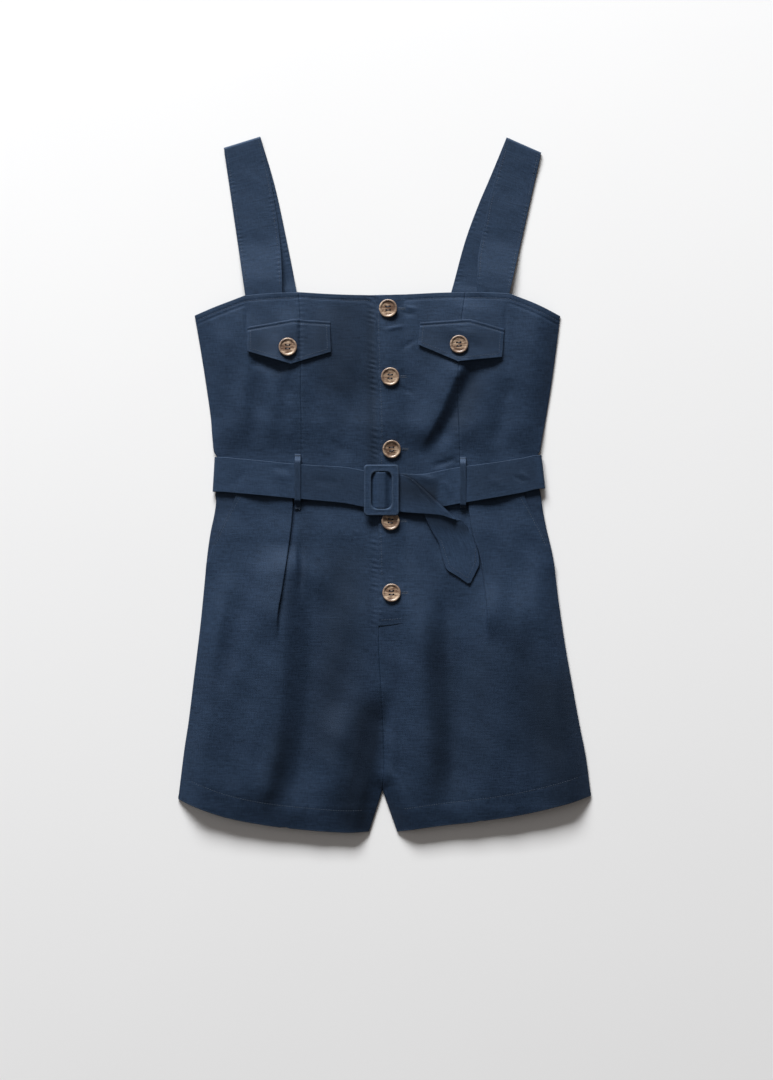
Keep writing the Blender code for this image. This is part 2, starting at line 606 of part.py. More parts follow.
def button(name, x, y, base, tilt_x, tilt_y, look, shown, cutters):
    """Round four-hole button with a raised rim, turned from its half section."""
    section = [(0.0, 0.0), (BUTTON_RADIUS - 1.6, 0.0), (BUTTON_RADIUS, 1.3),
               (BUTTON_RADIUS - 0.9, BUTTON_THICK), (BUTTON_RADIUS - 2.2, BUTTON_THICK),
               (BUTTON_RADIUS - 3.8, BUTTON_THICK - 1.0), (0.0, BUTTON_THICK - 1.1)]
    mesh = bpy.data.meshes.new(name)
    net = bmesh.new()
    corners = [net.verts.new((r * MM, 0.0, z * MM)) for r, z in section]
    for first, last in zip(corners, corners[1:]):
        net.edges.new((first, last))
    net.to_mesh(mesh)
    net.free()
    item = link(name, mesh, look, shown)
    turn = item.modifiers.new("turn", "SCREW")
    turn.angle = 2 * math.pi
    turn.steps = 22
    turn.render_steps = 22
    turn.use_merge_vertices = True
    turn.merge_threshold = 0.00002
    turn.use_normal_calculate = True
    turn.use_smooth_shade = True
    holes = bpy.data.meshes.new(name + "_holes")
    net = bmesh.new()
    for sx in (-1, 1):
        for sy in (-1, 1):
            made = bmesh.ops.create_cone(net, cap_ends=True, segments=6, radius1=BUTTON_HOLE_RADIUS * MM,
                                         radius2=BUTTON_HOLE_RADIUS * MM, depth=8.0 * MM)
            for vertex in made["verts"]:
                vertex.co.x += sx * BUTTON_HOLE_STEP * MM
                vertex.co.y += sy * BUTTON_HOLE_STEP * MM
    net.to_mesh(holes)
    net.free()
    cutter = make_cutter(name + "_holes", holes, cutters)
    for thing in (item, cutter):
        thing.location = (x * MM, y * MM, base * MM)
        thing.rotation_euler = (tilt_x, tilt_y, 0.0)
    boolean(item, cutter, "DIFFERENCE")
    return item


def seat(x, y, extra, lift_slope):
    """Height and tilt of a button on the cloth below it."""
    reach = 8.0
    slope_x = (rise(x + reach, y) - rise(x - reach, y)) / (2 * reach)
    slope_y = (rise(x, y + reach) - rise(x, y - reach)) / (2 * reach) - lift_slope
    base = rise(x, y) + extra + 0.5 * CLOTH + 0.4
    return base, math.atan(slope_y), -math.atan(slope_x)


def make_bodice(look, shown):
    side_left = upper_part(SIDE_LEFT, WAIST_SIDE_LEFT[1])
    side_right = upper_part(SIDE_RIGHT, WAIST_SIDE_RIGHT[1])
    bodice_panel("bodice_side_left", side_left, PRINCESS_LEFT, TOP_SIDE_LEFT,
                 [side_left[-1], WAIST_PRINCESS_LEFT], 9, 1, look, shown)
    bodice_panel("bodice_centre_left", PRINCESS_LEFT, CENTRE_TOP, TOP_CENTRE_LEFT,
                 [WAIST_PRINCESS_LEFT, WAIST_CENTRE], 7, 0, look, shown)
    bodice_panel("bodice_centre_right", CENTRE_TOP, PRINCESS_RIGHT, TOP_CENTRE_RIGHT,
                 [WAIST_CENTRE, WAIST_PRINCESS_RIGHT], 7, 0, look, shown)
    bodice_panel("bodice_side_right", PRINCESS_RIGHT, side_right, TOP_SIDE_RIGHT,
                 [WAIST_PRINCESS_RIGHT, side_right[-1]], 9, -1, look, shown)
    back_top = [(side_left[0][0], side_left[0][1] - 1.0), (-170.0, 196.0), (-130.0, 203.0), (0.0, 203.0),
                (110.0, 203.0), (160.0, 196.0), (side_right[0][0], side_right[0][1] - 1.0)]
    left = [back_top[0]] + side_left[1:]
    right = [back_top[-1]] + side_right[1:]
    back_panel("bodice_back", left, right, back_top, [left[-1], (10.0, 2.0), right[-1]], 8, 18, look, shown)


def make_shorts(look, shown):
    inner_left = CENTRE_LOW + [INNER_LEFT]
    inner_right = CENTRE_LOW + [INNER_RIGHT]
    shorts_front("shorts_front_left", SIDE_LEFT, POCKET_LEFT, PLEAT_LEFT, inner_left, HEM_LEFT, 1.0,
                 look, shown)
    shorts_front("shorts_front_right", SIDE_RIGHT, POCKET_RIGHT, PLEAT_RIGHT, inner_right, HEM_RIGHT, -1.0,
                 look, shown)
    pocket_facing("pocket_facing_left", SIDE_LEFT, POCKET_LEFT, 1.0, look, shown)
    pocket_facing("pocket_facing_right", SIDE_RIGHT, POCKET_RIGHT, -1.0, look, shown)
    left = lower_part(SIDE_LEFT, WAIST_SIDE_LEFT[1])
    right = lower_part(SIDE_RIGHT, WAIST_SIDE_RIGHT[1])
    centre = [(10.0, 2.0), (4.0, -110.0), (-0.7, -306.5), CROTCH]
    hem_left = [(x, y + 1.5) for x, y in HEM_LEFT]
    hem_right = [(x, y + 1.5) for x, y in reversed(HEM_RIGHT)]
    left[-1], right[-1] = hem_left[0], hem_right[-1]
    back_panel("shorts_back_left", left, centre + [hem_left[-1]], [left[0], centre[0]], hem_left, 7, 26,
               look, shown)
    back_panel("shorts_back_right", centre + [hem_right[0]], right, [centre[0], right[0]], hem_right, 7, 26,
               look, shown)


def make_buttons(look, shown, cutters):
    for index, (x, y) in enumerate(PLACKET_BUTTONS, start=1):
        base, tilt_x, tilt_y = seat(x, y, LAID, 0.0)
        button(f"button_placket_{index}", x, y, base, tilt_x, tilt_y, look, shown, cutters)
    for side, (x, y) in FLAP_BUTTONS.items():
        corners = FLAPS[side]
        top_y, low_y = corners["top"][1][1], corners["low"][1][1]
        share = (top_y - y) / (top_y - low_y)
        base, tilt_x, tilt_y = seat(x, y, LAID + FLAP_LIFT * share, FLAP_LIFT / (top_y - low_y))
        button(f"button_flap_{side}", x, y, base, tilt_x, tilt_y, look, shown, cutters)


def hang_together(shown):
    """Parents every piece to one empty at the romper's origin."""
    origin = bpy.data.objects.new("romper_origin", None)
    for item in list(shown.objects):
        item.parent = origin
    shown.objects.link(origin)


def build():
    clear_scene()
    shown, cutters = make_collections()
    make_bodice(NAVY_LINEN, shown)
    make_shorts(NAVY_LINEN, shown)
    placket(NAVY_LINEN, shown)
    for side, corners in FLAPS.items():
        flap(f"pocket_flap_{side}", corners, NAVY_LINEN, shown)
    strap("strap_left", STRAPS["left"], 1.0, NAVY_LINEN, shown)
    strap("strap_right", STRAPS["right"], -1.0, NAVY_LINEN, shown)
    belt(NAVY_LINEN, shown)
    for side, spec in LOOPS.items():
        belt_loop(f"belt_loop_{side}", spec, NAVY_LINEN, shown)
    buckle(NAVY_LINEN, shown, cutters)
    make_buttons(BROWN_HORN, shown, cutters)
    hang_together(shown)


build()
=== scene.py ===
import math

import bmesh
import bpy
import numpy as np
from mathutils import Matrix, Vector
from mathutils.bvhtree import BVHTree


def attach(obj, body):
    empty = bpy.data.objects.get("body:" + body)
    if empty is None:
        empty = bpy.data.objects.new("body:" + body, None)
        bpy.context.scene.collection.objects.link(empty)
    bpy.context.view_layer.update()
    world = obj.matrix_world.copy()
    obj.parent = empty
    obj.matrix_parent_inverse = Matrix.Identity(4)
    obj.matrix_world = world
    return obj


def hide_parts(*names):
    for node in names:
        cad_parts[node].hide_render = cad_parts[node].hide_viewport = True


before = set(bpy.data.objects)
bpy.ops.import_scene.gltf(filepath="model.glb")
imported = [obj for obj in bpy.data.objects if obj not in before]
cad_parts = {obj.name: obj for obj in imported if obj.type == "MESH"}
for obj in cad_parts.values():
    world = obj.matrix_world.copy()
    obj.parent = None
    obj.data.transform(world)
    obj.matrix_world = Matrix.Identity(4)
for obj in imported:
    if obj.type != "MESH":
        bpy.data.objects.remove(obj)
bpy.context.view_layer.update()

# A sleeveless navy linen romper, laid flat with its front up.
# Every table is in millimetres, seen from above, with the shoulders toward +Y.
mm = 0.001
coarse = 1.0
# side as the viewer sees it, the same in names, way toward the centre
bothSides = (("left", "Left", 1.0), ("right", "Right", -1.0))


# lines and tables
def smoothLine(points, corners=()):
    # a rounded line through every point, left sharp at the corners named by their place in the list
    points, perSpan = np.asarray(points, float), 12
    cuts = [0] + sorted(corners) + [len(points) - 1]
    out = []
    for first, last in zip(cuts, cuts[1:]):
        part = points[first:last + 1]
        if len(part) == 2:
            out.append(np.linspace(part[0], part[1], perSpan, endpoint=False))
            continue
        ends = np.vstack([2 * part[0] - part[1], part, 2 * part[-1] - part[-2]])
        for i in range(1, len(ends) - 2):
            knots = [0.0]
            for j in range(3):
                gap = math.dist(ends[i - 1 + j][:2], ends[i + j][:2])
                knots.append(knots[-1] + max(gap, 1e-6) ** 0.5)
            t = np.linspace(knots[1], knots[2], perSpan, endpoint=False)[:, None]
            p0, p1, p2, p3 = ends[i - 1:i + 3]
            a1 = (knots[1] - t) / (knots[1] - knots[0]) * p0 + (t - knots[0]) / (knots[1] - knots[0]) * p1
            a2 = (knots[2] - t) / (knots[2] - knots[1]) * p1 + (t - knots[1]) / (knots[2] - knots[1]) * p2
            a3 = (knots[3] - t) / (knots[3] - knots[2]) * p2 + (t - knots[2]) / (knots[3] - knots[2]) * p3
            b1 = (knots[2] - t) / (knots[2] - knots[0]) * a1 + (t - knots[0]) / (knots[2] - knots[0]) * a2
            b2 = (knots[3] - t) / (knots[3] - knots[1]) * a2 + (t - knots[1]) / (knots[3] - knots[1]) * a3
            out.append((knots[2] - t) / (knots[2] - knots[1]) * b1 + (t - knots[1]) / (knots[2] - knots[1]) * b2)
    out.append(points[-1:])
    return np.vstack(out)


def lengthOf(line):
    return float(np.hypot(*np.diff(np.asarray(line)[:, :2], axis=0).T).sum())


def runOf(line):
    # length gone at each point of a line
    return np.concatenate([[0.0], np.cumsum(np.linalg.norm(np.diff(line, axis=0), axis=1))])


def along(line, share):
    # points at shares of the length of a line
    line = np.asarray(line, float)
    run = np.concatenate([[0.0], np.cumsum(np.hypot(*np.diff(line[:, :2], axis=0).T))])
    share = np.asarray(share, float)
    return np.stack([np.interp(share * run[-1], run, line[:, k]) for k in range(line.shape[1])], -1)


def eased(t):
    t = np.clip(t, 0.0, 1.0)
    return t * t * (3.0 - 2.0 * t)


def tableAt(rows, at):
    # value at a place in a table that runs from high to low, eased between its rows
    rows = np.asarray(rows, float)[::-1]
    at = np.asarray(at, float)
    i = np.clip(np.searchsorted(rows[:, 0], at, side="right") - 1, 0, len(rows) - 2)
    return rows[i, 1] + (rows[i + 1, 1] - rows[i, 1]) * eased((at - rows[i, 0]) / (rows[i + 1, 0] - rows[i, 0]))


def sideAt(line, y):
    line = np.asarray(line)[::-1]
    return np.interp(y, line[:, 1], line[:, 0])


def nearLine(line, x, y):
    # distance to a line, the side it lies on (+1 is left of the way) and the share of its length there
    best = np.full(np.shape(x), 1e9)
    side = np.zeros(np.shape(x))
    share = np.zeros(np.shape(x))
    line = np.asarray(line, float)
    lengths = np.hypot(*np.diff(line[:, :2], axis=0).T)
    gone, total = 0.0, lengths.sum()
    for (ax, ay), (bx, by), run in zip(line[:, :2], line[1:, :2], lengths):
        t = np.clip(((x - ax) * (bx - ax) + (y - ay) * (by - ay)) / run ** 2, 0.0, 1.0)
        d = np.hypot(x - ax - t * (bx - ax), y - ay - t * (by - ay))
        closer = d < best
        best = np.where(closer, d, best)
        side = np.where(closer, np.sign((bx - ax) * (y - ay) - (by - ay) * (x - ax)), side)
        share = np.where(closer, (gone + t * run) / total, share)
        gone += run
    return best, side, share


# the cut of the romper
outline = {
    "sideLeft": [(-208.0, 185.0), (-201.5, 148.0), (-195.5, 110.0), (-190.2, 72.2), (-188.2, 48.4), (-186.2, 34.0),
                 (-183.5, 30.6), (-183.5, -5.0), (-185.9, -11.0), (-185.2, -18.9), (-187.2, -33.7),
                 (-191.2, -52.6), (-194.9, -77.9), (-197.6, -105.3), (-202.5, -154.8), (-209.7, -213.8),
                 (-215.7, -262.6), (-219.8, -289.1), (-226.9, -346.1)],
    "sideRight": [(192.3, 184.5), (188.0, 150.0), (182.5, 110.0), (176.1, 70.5), (172.0, 48.4), (170.0, 36.0),
                  (168.0, 32.8), (168.4, -1.0), (171.0, -8.0), (173.1, -23.4), (177.7, -48.2), (181.6, -63.8),
                  (185.6, -82.9), (191.2, -127.6), (198.9, -179.5), (206.9, -224.2), (214.1, -263.6),
                  (221.2, -299.3), (226.9, -342.3)],
    "waistLeft": (-183.5, 9.0), "waistRight": (168.2, 13.0),
    "waistPrincessLeft": (-92.0, 0.0), "waistPrincessRight": (84.0, 0.0), "waistCentre": (10.0, -5.0),
    "crotch": (-2.3, -336.6), "innerLeft": (-16.7, -381.6), "innerRight": (13.6, -381.6),
    "princessLeft": [(-94.6, 209.8), (-92.3, 177.7), (-92.0, 99.0), (-91.3, 68.6), (-92.0, 0.0)],
    "princessRight": [(88.5, 209.8), (82.5, 165.0), (80.6, 99.0), (81.3, 68.6), (84.0, 0.0)],
    "centreTop": [(10.0, 206.8), (10.0, -5.0)],
    "centreLow": [(10.0, -5.0), (10.0, -90.0), (-5.3, -146.0), (-4.0, -223.1), (-2.3, -253.0), (-0.7, -306.5),
                  (-2.3, -336.6)],
    "topSideLeft": [(-208.0, 185.0), (-182.0, 195.2), (-153.8, 206.0), (-125.0, 208.6), (-94.6, 209.8)],
    "topCentreLeft": [(-94.6, 209.8), (-49.1, 207.4), (10.0, 206.8)],
    "topCentreRight": [(10.0, 206.8), (27.6, 207.6), (60.9, 209.2), (88.5, 209.8)],
    "topSideRight": [(88.5, 209.8), (112.0, 209.6), (136.8, 208.4), (165.0, 197.5), (192.3, 184.5)],
    "hemLeft": [(-226.9, -346.1), (-207.6, -354.2), (-175.0, -365.3), (-134.3, -373.5), (-93.6, -378.6),
                (-43.6, -382.2), (-16.7, -381.6)],
    "hemRight": [(226.9, -342.3), (197.9, -351.2), (153.2, -361.9), (108.5, -369.1), (56.7, -375.3),
                 (13.6, -381.6)],
    "pocketLeft": [(-166.0, 7.4), (-163.3, -11.5), (-178.1, -44.2), (-187.5, -63.1), (-192.8, -81.1)],
    "pocketRight": [(154.0, 10.9), (153.3, -11.5), (168.0, -44.0), (177.5, -63.1), (183.4, -81.1)],
    "pleatLeft": [(-102.5, 0.9), (-101.5, -26.8), (-106.5, -73.4), (-112.5, -114.0), (-118.5, -150.0),
                  (-117.0, -230.0), (-113.0, -376.2)],
    "pleatRight": [(91.5, 1.4), (92.5, -22.0), (98.3, -59.4), (104.5, -77.0), (114.0, -150.0), (113.0, -230.0),
                   (110.0, -368.9)],
}

# heights of the middle of the cloth above the floor: y, height
lay = {
    "crown": [(215.0, 8.5), (150.0, 10.5), (70.0, 8.6), (30.0, 5.5), (-26.0, 5.5), (-60.0, 6.8), (-165.0, 11.7),
              (-335.0, 12.2), (-352.0, 11.8), (-385.0, 8.8)],
    "edge": [(215.0, 1.6), (74.0, 1.6), (48.0, 3.2), (12.0, 3.2), (8.0, 4.2), (-18.0, 4.2), (-34.0, 3.4),
             (-86.0, 3.4), (-108.0, 1.6), (-385.0, 1.6)],
    "back": [(215.0, 0.5), (64.0, 0.5), (44.0, 2.1), (-20.0, 2.1), (-36.0, 0.5), (-385.0, 0.5)],
    "roundSide": 27.0, "roundInner": 22.0,
    "halfCloth": 0.5, "laidOn": 1.35,
}

# soft folds: way down the cloth, half width to each side (left and right of the way), height, eased ends
foldsBroad = [
    # left leg: pipe below the pleat, hollow beside it, second pipe by the inner leg
    ([(-106, -64), (-109, -128), (-112, -183), (-115, -238), (-121, -293), (-130, -331), (-138, -366)],
     14, 30, 5.6, 0.12),
    ([(-76, -90), (-79, -183), (-82, -243), (-88, -293), (-95, -331), (-100, -366)], 32, 14, -4.4, 0.2),
    ([(-50, -236), (-54, -284), (-57, -331), (-59, -366)], 20, 18, 4.8, 0.35),
    ([(1, -222), (-1, -270), (-4, -312), (-9, -350), (-11, -390)], 8, 18, -5.2, 0.25),
    ([(-152, -90), (-159, -128), (-168, -183), (-180, -238)], 11, 12, -1.0, 0.4),
    # right leg: pipe beside the centre, hollow, wide pipe toward the side
    ([(30, -90), (37, -128), (40, -183), (43, -238), (46, -293), (48, -331), (50, -366)], 13, 18, 3.8, 0.3),
    ([(64, -84), (69, -128), (72, -183), (74, -238), (76, -293), (77, -331), (78, -366)], 30, 13, -4.6, 0.2),
    ([(134, -84), (129, -128), (124, -183), (121, -238), (118, -293), (115, -331), (112, -366)], 32, 24, 3.6, 0.25),
    ([(12, -190), (14, -250), (18, -310), (22, -350)], 9, 9, -1.6, 0.3),
    # bodice right: slanting fold, steep on its lower side
    ([(92, 142), (75, 114), (61, 81), (43, 48), (34, 32)], 6.5, 20, 4.0, 0.25),
    ([(104, 140), (92, 114), (78, 81), (60, 48), (48, 34)], 12, 7, -3.4, 0.25),
    # bodice: hollow left of the button stand, high along the left breast seam and below the right strap
    ([(-15, 270), (-13, 150), (-15, 30)], 9, 34, -4.0, 0.3),
    ([(-98, 205), (-97, 120), (-104, 60)], 14, 20, 1.2, 0.2),
    ([(103, 205), (96, 170), (90, 150)], 17, 26, 2.0, 0.3),
    ([(-140, 132), (-140, 90), (-138, 36)], 8, 9, -1.4, 0.3),
    ([(-108, 132), (-107, 90), (-106, 50)], 9, 8, -1.3, 0.4),
    ([(138, 120), (128, 80), (122, 36)], 10, 12, -2.0, 0.3),
]
foldsFine = [
    # bodice, right: the long slanting fold below the flap and its ridges
    ([(84, 30), (66, 23), (48, 18)], 3.0, 3.5, -0.9, 0.4),
    ([(112, 92), (96, 60), (70, 36)], 7.0, 7.0, 0.5, 0.5),
    ([(150, 96), (128, 62), (118, 36)], 9.0, 9.0, -0.5, 0.5),
    ([(133.5, 205), (132.5, 172), (130, 140)], 2.2, 3.0, -0.5, 0.4),
    # bodice, left: strap crease, quiet folds below the flap
    ([(-156, 130), (-154, 80), (-152, 40)], 6.0, 8.0, 1.0, 0.4),
    ([(-123, 128), (-122, 90), (-122, 50)], 7.0, 7.0, 1.0, 0.4),
    ([(-148, 139), (-130, 133), (-114, 128), (-104, 124)], 2.6, 8.5, -2.3, 0.25),
    ([(84, 128), (100, 130), (118, 132), (130, 134)], 2.6, 8.0, -1.2, 0.25),
    ([(-62, 62), (-58, 44), (-56, 26)], 9.0, 12.0, 0.9, 0.4),
    ([(-151.5, 203), (-151.5, 168), (-150, 150)], 2.4, 2.0, -0.8, 0.4),
    ([(-176, 150), (-170, 100), (-166, 50)], 8.0, 8.0, -0.4, 0.5),
    ([(-76, 62), (-58, 44), (-30, 30)], 6.0, 7.0, -0.6, 0.4),
    ([(-60, 150), (-52, 110), (-46, 70)], 10.0, 10.0, -0.4, 0.5),
    ([(-30, 190), (-36, 140), (-34, 96)], 8.0, 8.0, 0.35, 0.5),
    # by the top buttons
    ([(16, 197), (28, 193), (42, 191)], 1.8, 2.2, 0.6, 0.5),
    ([(14, 190), (26, 186), (38, 185)], 1.8, 2.0, -0.5, 0.5),
    ([(-6, 167), (10, 171), (28, 174)], 1.8, 2.2, 0.6, 0.5),
    ([(40, 162), (22, 150), (14, 142)], 2.6, 3.0, -0.6, 0.5),
    ([(14, 108), (24, 102), (36, 100)], 2.4, 2.8, -0.45, 0.5),
    # hip and legs, left
    ([(-98.5, -62), (-97, -84), (-96, -106)], 1.6, 2.0, 0.6, 0.5),
    ([(-92, -44), (-91, -84), (-93, -134)], 4.0, 4.0, -1.3, 0.4),
    ([(-80, -60), (-74, -110), (-72, -160)], 6.0, 6.0, 0.4, 0.5),
    ([(-36, -51), (-31, -53), (-26, -56)], 1.6, 1.6, 0.3, 0.5),
    ([(-176, -100), (-186, -170), (-196, -250)], 7.0, 8.0, 0.6, 0.5),
    ([(-196, -190), (-206, -260), (-214, -330)], 5.0, 6.0, -0.4, 0.5),
    ([(-44, -130), (-40, -190), (-46, -250)], 9.0, 9.0, -0.5, 0.5),
    ([(-20, -240), (-30, -290), (-40, -344)], 6.0, 6.0, 0.4, 0.4),
    ([(-128, -250), (-140, -310), (-150, -372)], 6.0, 7.0, -0.6, 0.4),
    # hip and legs, right
    ([(60, -40), (58, -90), (52, -140)], 7.0, 8.0, -0.5, 0.5),
    ([(106, -90), (116, -130), (124, -180)], 5.0, 6.0, -0.5, 0.5),
    ([(86, -150), (84, -210), (88, -280)], 7.0, 7.0, -0.5, 0.5),
    ([(140, -40), (154, -90), (164, -160)], 8.0, 8.0, -0.5, 0.5),
    ([(150, -180), (164, -250), (172, -330)], 9.0, 10.0, -0.9, 0.4),
    ([(184, -170), (194, -240), (204, -310)], 7.0, 7.0, 0.5, 0.5),
    ([(30, -150), (34, -200), (32, -250)], 6.0, 7.0, -0.4, 0.5),
    ([(4, -300), (18, -322), (30, -350)], 3.0, 3.5, -0.5, 0.5),
    ([(130, -250), (134, -310), (132, -362)], 6.0, 6.0, 0.4, 0.4),
]

# painted shade: the cloth's colour is darkened where shade falls or the cloth faces away from the light, in its
# hollows, in the pocket mouths, under the belt and on the flaps: way, half widths, share, eased ends
paintedShadeFolds = [
    # legs
    ([(-97, -80), (-97, -179), (-100, -243), (-106, -291), (-115, -330)], 16, 14, 0.14, 0.2),
    ([(-108, -250), (-117, -310), (-124, -370)], 14, 12, 0.40, 0.35),
    ([(-88, -10), (-90, -80), (-94, -140)], 8, 5, 0.20, 0.4),
    ([(-114, -50), (-118, -170)], 18, 18, 0.20, 0.3),
    ([(-44, -40), (-52, -180), (-62, -260), (-68, -330)], 30, 24, 0.48, 0.2),
    ([(-9, -222), (-15, -280), (-27, -335), (-34, -400)], 11, 20, 0.74, 0.2),
    ([(54, -130), (57, -200), (60, -280), (62, -360)], 20, 15, 0.42, 0.2),
    ([(104, -140), (105, -240), (100, -340)], 22, 24, 0.22, 0.3),
    ([(146, -120), (158, -230), (168, -340)], 30, 26, 0.30, 0.3),
    ([(180, -190), (194, -290), (204, -385)], 28, 26, 0.50, 0.2),
    # pocket mouths
    ([(-161, -12), (-175, -38), (-189, -68)], 1.3, 1.3, 0.45, 0.04),
    ([(158, -12), (168, -36), (180, -66)], 1.2, 1.2, 0.32, 0.04),
    # in the belt's shade
    ([(-183, -10.8), (-128, -15.0), (-84, -19.4), (-43.6, -23.4), (-22, -27.4)], 1.8, 1.8, 0.62, 0.03),
    ([(14, -32.4), (46, -35), (62, -37), (82, -42)], 3.4, 3.4, 0.70, 0.05),
    ([(81, -24.0), (108, -19.4), (130, -15.4), (173, -7.4)], 1.8, 1.8, 0.60, 0.03),
    # bodice
    ([(-32, 230), (-31, 40)], 18, 26, 0.20, 0.2),
    ([(-56, 206), (-50, 90)], 26, 22, 0.38, 0.15),
    ([(-14, 206), (-12, 60), (-12, -40)], 6, 9, 0.46, 0.1),
    ([(-150, 158), (-62, 158)], 22, 20, 0.36, 0.06),
    ([(38, 158), (128, 158)], 22, 20, 0.36, 0.06),
    ([(-152, 150), (-108, 146)], 9, 9, 0.26, 0.1),
    ([(104, 130), (88, 88), (68, 48)], 15, 11, 0.60, 0.3),
]
# painted shade that grows down the legs toward the hems: y, share
paintedShadeTable = [(215.0, 0.02), (-60.0, 0.02), (-150.0, 0.08), (-230.0, 0.17), (-300.0, 0.20), (-350.0, 0.22),
            (-385.0, 0.30)]
paintedShadeMost = 0.78

# seams that pucker: line, how far the puckers reach to each side, height, distance apart
puckers = [
    {"line": "princessLeft", "reach": (5.0, 4.0), "height": 0.13, "apart": 5.6},
    {"line": "princessRight", "reach": (4.0, 5.0), "height": 0.14, "apart": 7.0},
    {"line": "centreLow", "reach": (2.5, 2.5), "height": 0.10, "apart": 6.0},
]
# the ladder of short pleats left of the button stand: its middle, half width, height and the dip that carries it
ladder = {"middle": 5.5, "half": 4.5, "reach": 30.0, "apart": 5.9, "height": 0.28, "dip": 0.45}

rng = np.random.default_rng(41)
waves = [(2 * math.pi / length, angle, phase, height) for length, angle, phase, height in zip(
    rng.uniform(24, 90, 22), rng.uniform(0, math.pi, 22), rng.uniform(0, 6.28, 22), rng.uniform(0.03, 0.10, 22))]
beat = rng.uniform(0.0, 6.28, 12)


def uneven(x, y):
    # the small unevenness of cloth that has been pressed and handled
    z = np.zeros(np.shape(x))
    for number, angle, phase, height in waves:
        z += height * np.sin(number * (x * math.cos(angle) + y * math.sin(angle)) + phase
                             + 0.9 * np.sin(0.013 * x + 0.017 * y + phase))
    return z


def foldHeight(folds, x, y):
    z = np.zeros(np.shape(x))
    for way, left, right, height, ease in folds:
        d, side, share = nearLine(way, x, y)
        half = np.where(side > 0, left, right)
        bump = height * np.exp(-(d / half) ** 2)
        if ease:
            bump = bump * eased(share / ease) * eased((1.0 - share) / ease)
        z += bump
    return z


# painted shade at a place: the share by which the cloth colour is darkened toward near black
def paintedShadeAt(x, y):
    x, y = np.asarray(x, float), np.asarray(y, float)
    return np.clip(tableAt(paintedShadeTable, y) + foldHeight(paintedShadeFolds, x, y), 0.0, paintedShadeMost)


def puckerHeight(line, reach, height, apart, x, y, seed):
    # short ridges across a stitched line, unevenly spaced
    d, side, share = nearLine(line, x, y)
    s = share * lengthOf(line)
    fall = np.exp(-(d / np.where(side > 0, reach[0], reach[1])) ** 2)
    turn = 2 * math.pi * s / apart + 1.3 * np.sin(s / 17.0 + beat[seed]) + 0.8 * np.sin(s / 7.3 + beat[seed + 1])
    sized = 0.65 + 0.35 * np.sin(s / 23.0 + beat[seed + 2])
    return height * fall * sized * (np.sin(turn) + 0.35 * np.sin(2.1 * turn + 1.0))


sideLeft, sideRight = (smoothLine(outline["side" + label], corners=(6, 7)) for _, label, _ in bothSides)
placketTable = {
    "free": [(-9.5, 206.6), (-8.0, 136.4), (-5.3, 59.4), (-6.8, -41.8), (-5.3, -102.3), (-6.9, -156.2)],
    "sewn": [(28.5, 208.0), (29.0, 136.4), (31.2, 59.4), (30.1, -41.8), (31.2, -102.3), (31.2, -151.8)],
}
placketFree, placketSewn = (smoothLine(placketTable[edge]) for edge in ("free", "sewn"))


def rise(x, y):
    # middle of the front cloth: up from the side seams, level over the body, with its broad folds
    near = np.minimum(x - sideAt(sideLeft, y), sideAt(sideRight, y) - x)
    inner = [nearLine([outline["crotch"], outline["inner" + label]], x, y)[0] for _, label, _ in bothSides]
    inner = np.where(x < outline["crotch"][0], *inner)

    def over(t):
        return np.sin(0.5 * math.pi * np.clip(t, 0.0, 1.0))
    share = over(near / lay["roundSide"]) * over(inner / lay["roundInner"])
    edge = tableAt(lay["edge"], y)
    return edge + (tableAt(lay["crown"], y) - edge + foldHeight(foldsBroad, x, y)) * share, share


def frontTop(x, y):
    # outer face of the front cloth with its finer folds, puckers and stitched-in lines
    x, y = np.asarray(x, float), np.asarray(y, float)
    height, share = rise(x, y)
    fine = foldHeight(foldsFine, x, y) + uneven(x, y)
    for number, row in enumerate(puckers):
        fine = fine + puckerHeight(outline[row["line"]], row["reach"], row["height"], row["apart"], x, y, number)
    d, side, down = nearLine(placketFree, x, y)
    s = down * lengthOf(placketFree)
    band = np.exp(-((-side * d - ladder["middle"]) / ladder["half"]) ** 2) * (d < ladder["reach"])
    turn = 2 * math.pi * s / ladder["apart"] + 1.6 * np.sin(s / 17.0) + 1.2 * np.sin(s / 7.3 + 2.0) + 0.35 * d
    pleated = 0.5 + 0.35 * np.sin(s / 11.0 + 0.8 * np.sin(s / 31.0)) + 0.3 * np.sin(s / 3.9 + 1.0)
    fine = fine + band * (ladder["height"] * pleated * np.sin(turn) - ladder["dip"])
    return height + fine * np.clip(share, 0.15, 1.0) + lay["halfCloth"]


# meshes
def newObject(name, data):
    item = bpy.data.objects.new(name, data)
    bpy.context.scene.collection.objects.link(item)
    return item


def makePiece(name, points, faces, material, cloth=None, worn=None, depth=None):
    # a mesh whose points know their place on the flat cloth, how far they are rubbed and how much painted shade
    # darkens their colour
    mesh = bpy.data.meshes.new(name)
    mesh.from_pydata((points * mm).tolist(), [], faces if isinstance(faces, list) else faces.tolist())
    if cloth is not None:
        flat = np.zeros((len(points), 3))
        flat[:, :2] = cloth.reshape(-1, 2) * mm
        mesh.attributes.new("clothPlace", "FLOAT_VECTOR", "POINT").data.foreach_set("vector", flat.ravel())
    for label, values in (("clothPaintedShade", depth), ("wornEdge", worn)):
        if values is not None:
            mesh.attributes.new(label, "FLOAT", "POINT").data.foreach_set("value", values.ravel())
    mesh.shade_smooth()
    mesh.materials.append(material)
    return newObject(name, mesh)


def makeGrid(name, grid, cloth, worn, material, depth=None, flip=False):
    # a piece from a grid of points
    return makePiece(name, grid.reshape(-1, 3), gridFaces(*grid.shape[:2], flip=flip), material, cloth, worn, depth)


def gridFaces(rows, columns, flip=False):
    index = np.arange(rows * columns).reshape(rows, columns)
    quads = np.stack([index[:-1, :-1], index[1:, :-1], index[1:, 1:], index[:-1, 1:]], -1).reshape(-1, 4)
    return quads[:, ::-1] if flip else quads


